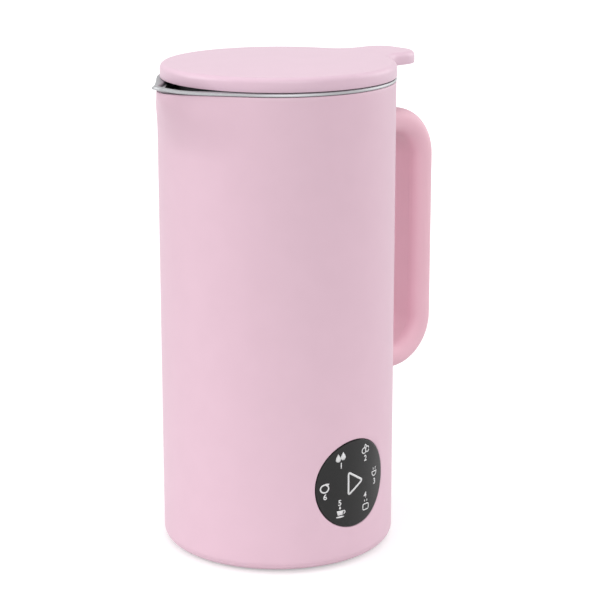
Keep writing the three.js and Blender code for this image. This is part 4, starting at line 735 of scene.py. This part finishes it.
def make_seat():
    """The bushing's section: neck, flange with a rounded edge, a fillet up to the boss and the stepped
    bore."""
    return turned([
        (BUSH_POCKET, SEAT_LOW), (SEAT_NECK, SEAT_LOW), (SEAT_NECK, SEAT_Z), (SEAT_FLANGE, SEAT_Z),
        *arc((SEAT_FLANGE - SEAT_EDGE, SEAT_SHOULDER - SEAT_EDGE), SEAT_EDGE, 0, 1, 6),
        *arc((SEAT_BOSS + SEAT_FILLET, SEAT_SHOULDER + SEAT_FILLET), SEAT_FILLET, 3, 2, 6),
        *arc((SEAT_BOSS - BOSS_EDGE, SEAT_TOP - BOSS_EDGE), BOSS_EDGE, 0, 1, 6),
        (SEAL_POCKET + POCKET_EASE, SEAT_TOP), (SEAL_POCKET, SEAT_TOP - POCKET_EASE),
        (SEAL_POCKET, SEAT_SHOULDER), (BUSH_POCKET, SEAT_SHOULDER),
    ])


def make_shaft_seal():
    """The seal's section: a block with a sloping lip that closes on the shaft."""
    low, high = SEAT_SHOULDER + FIT, SEAT_TOP - FIT
    return turned([
        (SEAL_HOLE, low), (SEAL_R, low), (SEAL_R, high - SEAL_EASE), (SEAL_R - SEAL_EASE, high),
        (SEAL_HOLE + SEAL_LIP, high), (SEAL_HOLE + LIP_TOP, high - SEAL_EASE),
        (SEAL_HOLE + SEAL_EASE, high - LIP_TIP), (SEAL_HOLE, high - SEAL_LIP),
    ])


# Stainless steel, turned and left bright: sharper than the brushed sheet, with rings from the tool.
TURNED_STEEL = spun_metal("stainless_steel_turned_bright", "d3d4d5", "bbbdc0", 0.24, 0.4)
# Silicone rubber, cured in a smooth mould: mid grey, soft to the eye, with a dull even sheen.
GREY_SILICONE = moulded("silicone_rubber_moulded_grey", "5c5c60", "525256", 0.62, 1.2, 0.01, IOR=1.41)
make_piece("seat_bushing", *make_seat(), TURNED_STEEL, "base", ["blade_seat"], "steel")
make_piece("shaft_lip_seal", *make_shaft_seal(), GREY_SILICONE, "base", ["shaft_seal"], "silicone")
dress(BRASS, "seat_nut", "seat_bush")

# Heater. A cast aluminium plate clamped under the jug's floor, with a ring-shaped tube heater brazed against
# it, and a thermostat and a temperature probe held up against it between the tube's two ends.
def cast_metal(name, light, dark, rough, grain):
    """Cast or sintered metal: a tone that wanders over a few millimetres, and a skin pitted by the mould that
    breaks its gloss."""
    material, tree, place = start_material(name, Metallic=1.0)
    cloud = add(tree, "TexNoise", {"Scale": 1 / (6 * MM), "Detail": 4.0}, {"Vector": place}).outputs["Fac"]
    pits = add(tree, "TexVoronoi", {"Scale": 1 / (grain * MM)}, {"Vector": place}).outputs["Distance"]
    return end_material(material, cloud, [(0.3, dark), (0.7, light)], pits, (rough - 0.08, rough + 0.1),
                        pits, 0.5, 0.02)


# Aluminium, die-cast and left bare: light grey, dull, with a fine orange-peel skin.
CAST_ALUMINIUM = cast_metal("aluminium_die_cast_bare", "c6c8cb", "aaadb1", 0.5, 0.8)
dress(CAST_ALUMINIUM, "heater_plate", "heater_tube")
dress(DARK_PP, "thermostat")
dress(TURNED_STEEL, "temperature_probe")

# Motor carrier. A white moulded plate with three long posts, drawn up to the jug's studs by nuts. Rubber
# bobbins in its holes hang the motor from it, so that little of the motor's hum reaches the jug.
# Glass-filled polyester, moulded: a warm white with a dry, slightly grey cloud where the fibres show.
WHITE_PBT = moulded("pbt_glass_filled_moulded_white", "ecebe5", "dfddd6", 0.6, 0.5, 0.01, IOR=1.57)
dress(WHITE_PBT, "motor_carrier")
dress(ZINC_STEEL, "jug_nut_1", "jug_nut_2", "jug_nut_3")
dress(GREY_SILICONE, "motor_mount_1", "motor_mount_2", "motor_mount_3")

# Motor. A universal motor: a ring of stamped iron sheets with a copper coil round each of its two poles,
# between a cast upper bracket and a moulded lower one with the brushes, all held by two long screws.
def laminated(name, light, dark, pitch):
    """Stamped sheets in a stack: a level band for each sheet, with a dark line where two meet, and a gloss
    that changes a little from place to place."""
    material, tree, place = start_material(name, Metallic=1.0)
    sheets = add(tree, "TexWave", {"Scale": math.pi / (10 * pitch * MM), "Distortion": 0.0},
                 {"Vector": place}, bands_direction="Z", wave_profile="SAW").outputs["Fac"]
    spots = add(tree, "TexNoise", {"Scale": 1 / (2 * MM), "Detail": 3.0}, {"Vector": place}).outputs["Fac"]
    return end_material(material, sheets, [(0.0, dark), (0.3, light)], spots, (0.42, 0.62), sheets, 0.6, 0.03)


def wound_wire(name, light, dark, pitch):
    """Enamelled wire laid in turns: rounded bands side by side, uneven as a coil is, darker towards the
    grooves as painted shade.
    """
    material, tree, place = start_material(name, Metallic=1.0, Coat_Weight=0.4, Coat_Roughness=0.2)
    values = {"Scale": math.pi / (10 * pitch * MM), "Distortion": 1.5, "Detail Scale": 0.4}
    turns = add(tree, "TexWave", values, {"Vector": place}, bands_direction="Z",
                wave_profile="SIN").outputs["Fac"]
    return end_material(material, turns, [(0.05, dark), (0.6, light)], turns, (0.5, 0.3), turns, 0.8, 0.12)


# Silicon iron in stamped sheets of half a millimetre: a dull grey stack with a dark line at every joint.
IRON_SHEETS = laminated("silicon_iron_stamped_stack", "85878b", "4c4e52", 0.5)
# Copper wire in clear enamel: orange-brown bands with a wet gloss and painted shade in the grooves between
# turns. The wire is about 0.4 mm, drawn at 0.8 mm.
COPPER_WIRE = wound_wire("copper_wire_enamelled_wound", "bf7442", "6e3a1e", 0.8)
# Carbon, pressed and fired: nearly black and dead matt, with a faint coarse grain.
CARBON = moulded("carbon_pressed_matt_black", "2e2e2f", "222223", 0.85, 0.4, 0.02, IOR=1.5)
dress(CAST_ALUMINIUM, "upper_bracket")
dress(DARK_PP, "lower_bracket")
dress(CARBON, "brush_left", "brush_right")
dress(TURNED_STEEL, "lower_bearing", "upper_bearing")
dress(IRON_SHEETS, "stator_core")
dress(COPPER_WIRE, "field_coil_front", "field_coil_back")
dress(ZINC_STEEL, "motor_screw_left", "motor_screw_right")

# Rotor. A ground steel shaft that carries a slotted stack of iron sheets with its winding, the copper
# commutator and a moulded fan, and runs up through the seat into the jug.
# Copper, drawn into bars and turned true: warm and bright, with fine rings from the tool.
COPPER_BARS = spun_metal("copper_turned_bare", "cb8759", "ab6a41", 0.3, 0.3)
dress(TURNED_STEEL, "motor_shaft")
dress(IRON_SHEETS, "rotor_core")
dress(COPPER_WIRE, "rotor_winding")
dress(COPPER_BARS, "commutator")
dress(WHITE_PBT, "cooling_fan")

# Blades. Two stainless strips, stamped, bent at both shoulders and ground sharp along their slanting edges,
# crossed on the shaft's end: the lower one's tips bend down, the upper one's up. A closed nut holds them.
BLADE_REACH, BLADE_BEND, BLADE_HALF, BLADE_TIP = 27.0, 9.45, 5.5, 4.0
BLADE_THICK, BLADE_EDGE, BLADE_GRIND = 1.5, 0.25, 2.2
BLADE_HOLE, BLADE_CORNER, BLADE_SOFT = 2.7, 1.0, 1.5
BLADE_NEAR_SHARE = 0.55
LOWER_BLADE_Z, LOWER_RISE = 112.7, -3.5
UPPER_BLADE_Z, UPPER_RISE = 114.5, 6.0
NUT_LOW, NUT_HIGH, NUT_FLATS, NUT_BORE_TOP = 116.3, 123.3, 10.0, 121.7
# The circles that cut the nut's corners off: how far from the nut's end, and the circle's radius
NUT_FOOT = [(0.0, 5.0), (0.25, 5.4), (0.5, 5.7)]
NUT_CROWN = [(1.0, 5.7), (0.75, 5.5), (0.45, 5.1), (0.15, 4.6), (0.0, 4.1)]


def swung(x, y, turn, height):
    """Flat points swung about the axis by a turn and set at a height."""
    return polar(np.hypot(x, y), np.arctan2(y, x) + turn, height)


def make_blade(level, rise, turn):
    """Scaled copies of the outline run in towards the shaft's hole. Beyond the shoulders the strip slopes
    by its rise over its reach, with a soft bend, and near a slanting edge the upper face falls in
    proportion to the distance."""
    tip = BLADE_TIP - BLADE_HALF
    corners = np.array([(BLADE_REACH, -BLADE_HALF), (BLADE_REACH, tip), (BLADE_BEND, BLADE_HALF)])
    edge = dense(rounded([*corners, *-corners], BLADE_CORNER), True)
    hole = BLADE_HOLE * unit(edge)
    run = corners[2] - corners[1]
    inward = np.array([-run[1], run[0]]) / np.hypot(*run)
    depth = abs(inward @ corners[1])
    near, ground = BLADE_NEAR_SHARE, 1 - BLADE_GRIND / depth
    shares = np.concatenate([np.linspace(near, ground, 8), np.linspace(ground, 1, 8)[1:]])
    inner = [hole + (edge * near - hole) * share for share in np.linspace(0, 1, 14, endpoint=False)]
    flat = np.stack([*inner, *[edge * share for share in shares]])
    over = np.abs(flat[..., 0]) - BLADE_BEND
    bend = np.where(over > BLADE_SOFT, over, np.maximum(over + BLADE_SOFT, 0) ** 2 / (4 * BLADE_SOFT))
    low = level + bend * rise / (BLADE_REACH - BLADE_BEND)
    away = np.clip(depth - np.abs(flat @ inward), 0, BLADE_GRIND)
    thick = BLADE_EDGE + (BLADE_THICK - BLADE_EDGE) * away / BLADE_GRIND
    under, upper = swung(*flat.T, turn, low.T), swung(*flat.T, turn, (low + thick).T)
    return skin(np.concatenate([under.swapaxes(0, 1), upper.swapaxes(0, 1)[::-1]]), close_rows=True)


def make_nut():
    """A hexagon carried up its height, each ring cut off by a circle that shrinks towards both ends, which
    leaves the curved chamfers, with a blind bore from below."""
    turn, sixth = full_turn(96), math.pi / 3
    hexagon = NUT_FLATS / 2 / np.cos(np.mod(turn, sixth) - sixth / 2)
    course = [(0, NUT_BORE_TOP), (BLADE_HOLE, NUT_BORE_TOP), (BLADE_HOLE, NUT_LOW)]
    course += [(np.minimum(hexagon, reach), NUT_LOW + up) for up, reach in NUT_FOOT]
    course += [(np.minimum(hexagon, reach), NUT_HIGH - down) for down, reach in NUT_CROWN]
    return skin(np.stack([polar(radius, turn, height) for radius, height in [*course, (0, NUT_HIGH)]]))


def ground_metal(name, light, dark, rough, pitch):
    """Sheet ground on a belt: straight fine streaks along one direction in its tone, gloss and bumps."""
    material, tree, place = start_material(name, Metallic=1.0)
    along = add(tree, "Mapping", {"Scale": (0.05, 1.0, 1.0)}, {"Vector": place}).outputs["Vector"]
    lines = add(tree, "TexNoise", {"Scale": 1 / (pitch * MM), "Detail": 3.0},
                {"Vector": along}).outputs["Fac"]
    return end_material(material, lines, [(0.3, dark), (0.7, light)], lines, (rough - 0.06, rough + 0.06),
                        lines, 0.4, 0.005)


# Stainless steel, hardened and belt-ground: bright, with straight streaks of 0.1 mm, drawn at 0.4 mm.
GROUND_STEEL = ground_metal("stainless_steel_belt_ground", "d6d7d8", "bcbec1", 0.26, 0.4)
lower_blade = make_blade(LOWER_BLADE_Z, LOWER_RISE, math.pi / 2)
upper_blade = make_blade(UPPER_BLADE_Z, UPPER_RISE, 0.0)
make_piece("blade_tips_down", *lower_blade, GROUND_STEEL, "rotor", ["lower_blade"], "steel")
make_piece("blade_tips_up", *upper_blade, GROUND_STEEL, "rotor", ["upper_blade"], "steel")
make_piece("closed_hexagon_nut", *make_nut(), TURNED_STEEL, "rotor", ["blade_nut"], "steel")

# Power board. A glass-epoxy board with a relay, a capacitor and a header, which stands in a slot on the
# bottom cover.
dress(GREEN_BOARD, "power_board")

# Bottom cover. A black moulded disc pushed up into the body's foot and held by three screws in deep holes. It
# has a ring of cooling slots, a pocket for each foot, a boss over each screw and a slot for the power board.
COVER_R, COVER_THICK, COVER_EASE = 52.2, 2.4, 0.25
VENTS, VENT_HALF, VENT_FROM, VENT_TO, VENT_POWER = 12, 1.3, 13.0, 29.0, 8
HUB_R, VENT_RING, OUTER_RING = 9.0, 31.0, 50.0
FOOT_CIRCLE, FOOT_R, POCKET_DEEP = 42.0, 6.5, 1.2
SCREW_CIRCLE, SCREW_HEAD, SCREW_HOLE = 44.6, 3.4, 1.8
BOSS_R, BOSS_TOP = 4.6, 5.0
CHANNEL_X, CHANNEL_HALF_L, CHANNEL_HALF, CHANNEL_GAP = -45.0, 12.0, 2.7, 1.1
CHANNEL_LOW, CHANNEL_FLOOR, CHANNEL_TOP = 2.2, 6.1, 9.4
COVER_SIDES = 120


def opening(block, turn, circle, half_long, half_wide, power, course):
    """Rings that run from a block's outline in to a hole's and on, by a course of share, growth and height.
    The hole is a superellipse on a circle about the axis, the long way along the radius."""
    angle, radius = block
    along, across = radius * np.cos(angle - turn) - circle, radius * np.sin(angle - turn)
    rings = []
    for share, grow, height in course:
        u, v = superellipse(along, across, half_long, half_wide, power, share, grow)
        rings.append(swung(circle + u, v, turn, height))
    return np.stack(rings)


def ring_block(middle, half, inner, outer, rows):
    """The outline of one block of a ring about the axis, as angles and radii."""
    angles = np.linspace(middle - half, middle + half, round(COVER_SIDES * half / math.pi) + 1)
    return block_outline(angles, np.linspace(inner, outer, rows + 1))


def make_cover():
    """Blocks round the axis, each with its slot, pocket or screw hole, between a plain hub and a plain rim.
    The board's slot is a channel set on top."""
    top, ease, foot = COVER_THICK, COVER_EASE, FOOT_R + FIT
    mouth = [(0, 0, 0), (1, ease, 0), (1, 0, ease)]
    slot = [*mouth, (1, 0, top), (0, 0, top)]
    pocket = [*mouth, (1, 0, POCKET_DEEP), (1, -foot, POCKET_DEEP)]
    roof = [(0, 0, top), (1, 0, top), (1, -foot, top)]
    bore, boss = SCREW_HOLE - SCREW_HEAD, BOSS_R - SCREW_HEAD
    deep = [*mouth, (1, 0, top), (1, bore, top), (1, bore, BOSS_TOP), (1, boss, BOSS_TOP), (1, boss, top),
            (0, 0, top)]
    vent_middle, vent_half = (VENT_FROM + VENT_TO) / 2, (VENT_TO - VENT_FROM) / 2
    skins = []
    for turn in full_turn(VENTS):
        block = ring_block(turn, math.pi / VENTS, HUB_R, VENT_RING, 14)
        skins.append(opening(block, turn, vent_middle, vent_half, VENT_HALF, VENT_POWER, slot))
    for turn in THIRDS:
        block = ring_block(turn, math.pi / 6, VENT_RING, OUTER_RING, 8)
        skins += [opening(block, turn, FOOT_CIRCLE, foot, foot, 2, course) for course in (pocket, roof)]
        between = turn + math.pi / 3
        block = ring_block(between, math.pi / 6, VENT_RING, OUTER_RING, 8)
        skins.append(opening(block, between, SCREW_CIRCLE, SCREW_HEAD, SCREW_HEAD, 2, deep))
    rim = [(OUTER_RING, 0), (COVER_R - ease, 0), (COVER_R, ease), (COVER_R, top - ease),
           (COVER_R - ease, top), (OUTER_RING, top)]
    for course in ([(HUB_R, 0), (0, 0)], [(HUB_R, top), (0, top)], rim):
        skins.append(np.stack([polar(radius, full_turn(COVER_SIDES), height) for radius, height in course]))
    z, x = mirrored([(CHANNEL_LOW, CHANNEL_HALF), (CHANNEL_TOP, CHANNEL_HALF), (CHANNEL_TOP, CHANNEL_GAP),
                     (CHANNEL_FLOOR, CHANNEL_GAP)]).T
    ends = [np.stack(np.broadcast_arrays(CHANNEL_X + x, y, z), -1) for y in (-CHANNEL_HALF_L, CHANNEL_HALF_L)]
    return joined(*map(skin, skins), capped(np.stack(ends)))


make_piece("slotted_bottom_cover", *make_cover(), DARK_PP, "base", ["bottom_cover"], "dark_plastic")
dress(ZINC_STEEL, "cover_screw_1", "cover_screw_2", "cover_screw_3")

# Feet. Three silicone rubber discs pressed into the cover's pockets, each with a shallow dish in its sole
# that grips the table.
FOOT_LOW, FOOT_TOP, FOOT_EASE = -1.0, 0.9, 0.5
DISH_R, DISH_EDGE_R, DISH_DEEP = 3.6, 4.0, 0.3


def make_foot(turn):
    """The foot's section, with its dish and its eased edge, carried round and set on its circle."""
    low, soft = FOOT_LOW, EASE_SHARE * FOOT_EASE
    points, faces = turned([
        (0, low + DISH_DEEP), (DISH_R, low + DISH_DEEP), (DISH_EDGE_R, low), (FOOT_R - FOOT_EASE, low),
        (FOOT_R - soft, low + soft), (FOOT_R, low + FOOT_EASE), (FOOT_R, FOOT_TOP), (0, FOOT_TOP),
    ], 64)
    return points + polar(FOOT_CIRCLE, turn, 0), faces


for number, turn in enumerate(THIRDS, 1):
    foot = "foot_%d" % number
    make_piece("rubber_" + foot, *make_foot(turn), GREY_SILICONE, "base", [foot], "silicone")

# Lid. An ABS cover in a paler pink, painted light that stands in for its lit flat top, flat on top with a
# rounded edge, drawn out into a thumb tab over the handle. Under it a dark plate with a collar is snapped in,
# and the collar carries the silicone seal.
LID_R, LID_SHIFT = 58.4, 1.2
LID_LOW, LID_TOP = 238.2, 245.2
LID_WALL, LID_ROUND, LID_EASE = 2.4, 2.7, 0.4
TAB_REACH, TAB_WIDE = 85.0, 33.0
TAB_CORNER, TAB_FILLET = 12.0, 14.0
TAB_LIFT, TAB_FROM, TAB_RAMP = 0.6, BODY_R + 1.0, 2.0


def lid_ring(inset, height):
    """The lid's outline drawn in by an inset: half the tab's end, its rounded corner, the hollow curve that
    runs into the round edge, that edge, and the same mirrored."""
    round_r, half = LID_R - inset, TAB_WIDE / 2 - inset
    fillet, tip, reach = TAB_FILLET + inset, TAB_CORNER - inset, TAB_REACH - inset
    hollow_x = math.sqrt((round_r + fillet) ** 2 - (half + fillet) ** 2)
    meet = math.atan2(half + fillet, hollow_x) / (math.pi / 2)
    corner = arc((reach - tip - LID_SHIFT, half - tip), tip, 0, 1, 12)
    hollow = arc((hollow_x, half + fillet), fillet, -1, meet - 2, 10)
    side = np.concatenate([corner, np.linspace(corner[-1], hollow[0], 6)[1:-1], hollow])
    rim = arc((0, 0), round_r, meet, 4 - meet, 110)[1:-1]
    x, y = np.concatenate([side, rim, side[::-1] * (1, -1)]).T
    return np.stack(np.broadcast_arrays(x + LID_SHIFT, y, height), -1)


def make_lid():
    """Rings of the outline: down the hollow underside, out under the lower edge, up the side and over the
    rounded edge to the flat top. Under the tab the lower edge is lifted clear of the rim."""
    soft = EASE_SHARE * LID_EASE
    course = [(LID_WALL, LID_TOP - LID_WALL), (LID_WALL, LID_LOW), (LID_EASE, LID_LOW),
              (soft, LID_LOW + soft), (0, LID_LOW + LID_EASE)]
    over = arc((0, LID_TOP - LID_ROUND), LID_ROUND, 0, 1, 10)
    course += [(LID_ROUND - across, height) for across, height in over]
    rings = np.stack([lid_ring(inset, height) for inset, height in course])
    x, z = rings[..., 0], rings[..., 2]
    z += np.where(z < LID_LOW + TAB_LIFT, TAB_LIFT * np.clip((x - TAB_FROM) / TAB_RAMP, 0, 1), 0)
    return capped(rings)


# The same ABS from a finer mould: a little smoother than the body, so that its flat top mirrors more of the
# white room. Its pink is a little paler than the body's as painted light: it stands in for the light on the
# flat top and pales the side with it.
LID_ABS = moulded("abs_moulded_fine_pale_pink", "dfbfcf", "ddbdcd", 0.42, IOR=1.54)
make_piece("lid_shell", *make_lid(), LID_ABS, "lid", ["lid_cover"], "lid_plastic")

# Lid's inner plate and seal. The plate is moulded in black with a round collar that reaches down into the
# jug. Its black is also painted shade: it makes the gap under the lid as dark as the shade inside the jug's
# mouth. A silicone ring with two lips is stretched into the collar's groove and closes on the jug's wall.
PLATE_LOW, PLATE_HIGH, PLATE_INSET, PLATE_EASE = 239.2, 240.8, 2.7, 0.2
COLLAR_LOW, COLLAR_R, COLLAR_IN = 226.2, 49.7, 46.9
COLLAR_FILLET, COLLAR_EASE = 0.6, 0.3
GROOVE_R = 48.7
SEAL_OUTER, SEAL_THICK, SEAL_DENT = 51.2, 2.2, 1.0
SEAL_LOW, SEAL_TALL, SEAL_LIPS = 227.8, 6.0, 2


def make_plate():
    """The plate's outline from its top round its edge, then circles down the collar's outside with the seal's
    groove, round its lower edge and up its inside to the middle. Each circle has its points at the outline's
    angles."""
    outline = lid_ring(PLATE_INSET, PLATE_HIGH)
    turn = np.arctan2(outline[:, 1], outline[:, 0])
    groove_low, groove_high = SEAL_LOW - FIT, SEAL_LOW + SEAL_TALL + FIT
    low, ease, fillet = COLLAR_LOW, COLLAR_EASE, COLLAR_FILLET
    course = [(COLLAR_R + fillet, PLATE_LOW), (COLLAR_R, PLATE_LOW - fillet), (COLLAR_R, groove_high),
              (GROOVE_R, groove_high), (GROOVE_R, groove_low), (COLLAR_R, groove_low), (COLLAR_R, low + ease),
              (COLLAR_R - ease, low), (COLLAR_IN + ease, low), (COLLAR_IN, low + ease),
              (COLLAR_IN, PLATE_LOW - fillet), (COLLAR_IN - fillet, PLATE_LOW)]
    edge = [lid_ring(PLATE_INSET, PLATE_LOW + PLATE_EASE), lid_ring(PLATE_INSET + PLATE_EASE, PLATE_LOW)]
    return capped(np.stack([outline, *edge, *[polar(radius, turn, height) for radius, height in course]]))


def make_seal():
    """The seal's section, with its lips as waves of a cosine up its outer side, carried round the axis."""
    inner = SEAL_OUTER - SEAL_THICK
    share = np.linspace(0, 1, 25)
    dents = SEAL_DENT * (0.5 + 0.5 * np.cos(share * SEAL_LIPS * 2 * math.pi))
    side = np.stack([SEAL_OUTER - dents, SEAL_LOW + share * SEAL_TALL], -1)
    return turned([(inner, SEAL_LOW), *side, (inner, SEAL_LOW + SEAL_TALL)], 144)


make_piece("lid_inner_plate", *make_plate(), DARK_PP, "lid", ["lid_plate"], "dark_plastic")
make_piece("lid_seal_ring", *make_seal(), GREY_SILICONE, "lid", ["lid_seal"], "silicone")

# Lid magnet and sensor. A ferrite disc under the thumb tab's root tells a reed switch on a small board,
# behind the body's upper edge, that the lid is on.
# Ferrite, pressed and sintered: a dark, slightly shiny grey with a coarse dry grain.
FERRITE = cast_metal("ferrite_sintered_grey", "5d5f63", "45474a", 0.6, 0.5)
dress(FERRITE, "lid_magnet")
dress(GREEN_BOARD, "lid_sensor")

# Floor and backdrop. A wide pale board that the feet stand on. It keeps the soft shadow under the object, and
# away from it the board passes into plain white.
FLOOR_HALF = 9000.0
FADE_FROM, FADE_TO = 160.0, 700.0
FLOOR_GLOW = 0.36
WHITE = "ffffff"


def seen_directly(tree):
    """One for the rays that show the background, from the camera, off gloss or through glass, else zero."""
    ray = add(tree, "LightPath").outputs
    seen = add(tree, "Math", links={0: ray["Is Camera Ray"], 1: ray["Is Glossy Ray"]}, operation="ADD")
    links = {0: seen.outputs[0], 1: ray["Is Transmission Ray"]}
    return add(tree, "Math", links=links, operation="ADD", use_clamp=True).outputs[0]


def make_floor():
    """A flat square under the feet, whose colour fades from pale board to white away from the axis."""
    mesh = bpy.data.meshes.new("floor")
    corners = [(x * FLOOR_HALF * MM, y * FLOOR_HALF * MM, FOOT_LOW * MM) for x, y in
               ((-1, -1), (1, -1), (1, 1), (-1, 1))]
    mesh.from_pydata(corners, [], [[0, 1, 2, 3]])
    board = bpy.data.objects.new("floor", mesh)
    bpy.context.scene.collection.objects.link(board)
    material, tree, place = start_material("painted_board_matt_white", Roughness=0.9,
                                           Emission_Color=linear(WHITE))
    away = add(tree, "VectorMath", links={0: place}, operation="LENGTH").outputs["Value"]
    far = add(tree, "MapRange", {"From Min": FADE_FROM * MM, "From Max": FADE_TO * MM}, {"Value": away},
              interpolation_type="SMOOTHSTEP").outputs["Result"]
    glow = add(tree, "MapRange", {"To Min": FLOOR_GLOW, "To Max": 1.0}, {"Value": far}).outputs["Result"]
    glow = add(tree, "Math", links={0: glow, 1: seen_directly(tree)}, operation="MULTIPLY")
    tree.links.new(glow.outputs[0], tree.nodes["Principled BSDF"].inputs["Emission Strength"])
    mesh.materials.append(end_material(material, far, [(0.0, "dedede"), (1.0, "808080")]))


make_floor()

# Light. A white room seen as white, with a softer fill from all round, and four large soft boxes: one far
# round to each side, which leave the round body darkest a little right of its middle, one in front beside
# the camera, and a weak one overhead that lifts the lid's flat top a little above its side.
WORLD_FILL = 0.6
LAMP_SIZE, LAMP_AIM = 1200.0, (0.0, 0.0, 140.0)
# Each lamp: its name, its place in millimetres and its power in watts
LAMPS = [
    ("left_softbox", (-1320.0, 790.0, 750.0), 13.5),
    ("right_softbox", (1630.0, -460.0, 700.0), 10.5),
    ("front_softbox", (-900.0, -1600.0, 900.0), 13.5),
    ("top_softbox", (0.0, 0.0, 1700.0), 4.5),
]

world = bpy.data.worlds.new("white_room")
bpy.context.scene.world = world
world.use_nodes = True
room = world.node_tree
background = room.nodes["Background"].inputs
level = add(room, "MapRange", {"To Min": WORLD_FILL, "To Max": 1.0}, {"Value": seen_directly(room)})
room.links.new(level.outputs["Result"], background["Strength"])
background["Color"].default_value = linear(WHITE)


def set_up(holder, place, ahead):
    """Stands a lamp or the camera at a place in millimetres, looking along a direction with its top up."""
    holder.location = Vector(place) * MM
    holder.rotation_mode = "QUATERNION"
    holder.rotation_quaternion = Vector(ahead).to_track_quat("-Z", "Y")
    bpy.context.scene.collection.objects.link(holder)


for name, place, power in LAMPS:
    lamp = bpy.data.lights.new(name, "AREA")
    lamp.shape, lamp.size, lamp.energy = "SQUARE", LAMP_SIZE * MM, power
    set_up(bpy.data.objects.new(name, lamp), place, Vector(LAMP_AIM) - Vector(place))

# Camera. It stands about a metre off, to the left of the panel and a little above the lid, with a long lens.
CAMERA_TURN, CAMERA_PITCH = math.radians(-40.688), math.radians(-14.715)
CAMERA_PLACE = (-616.5, -734.7, 375.8)
LENS_LONG, SENSOR_WIDE = 117.32, 36.0
lens = bpy.data.cameras.new("camera")
lens.sensor_width, lens.lens = SENSOR_WIDE, LENS_LONG
lens.clip_start, lens.clip_end = 0.05, 50.0
camera = bpy.data.objects.new("camera", lens)
level_turn = math.pi / 2 + CAMERA_TURN
set_up(camera, CAMERA_PLACE, polar(math.cos(CAMERA_PITCH), level_turn, math.sin(CAMERA_PITCH)))
bpy.context.scene.camera = camera
bpy.context.scene.view_settings.view_transform = "Standard"
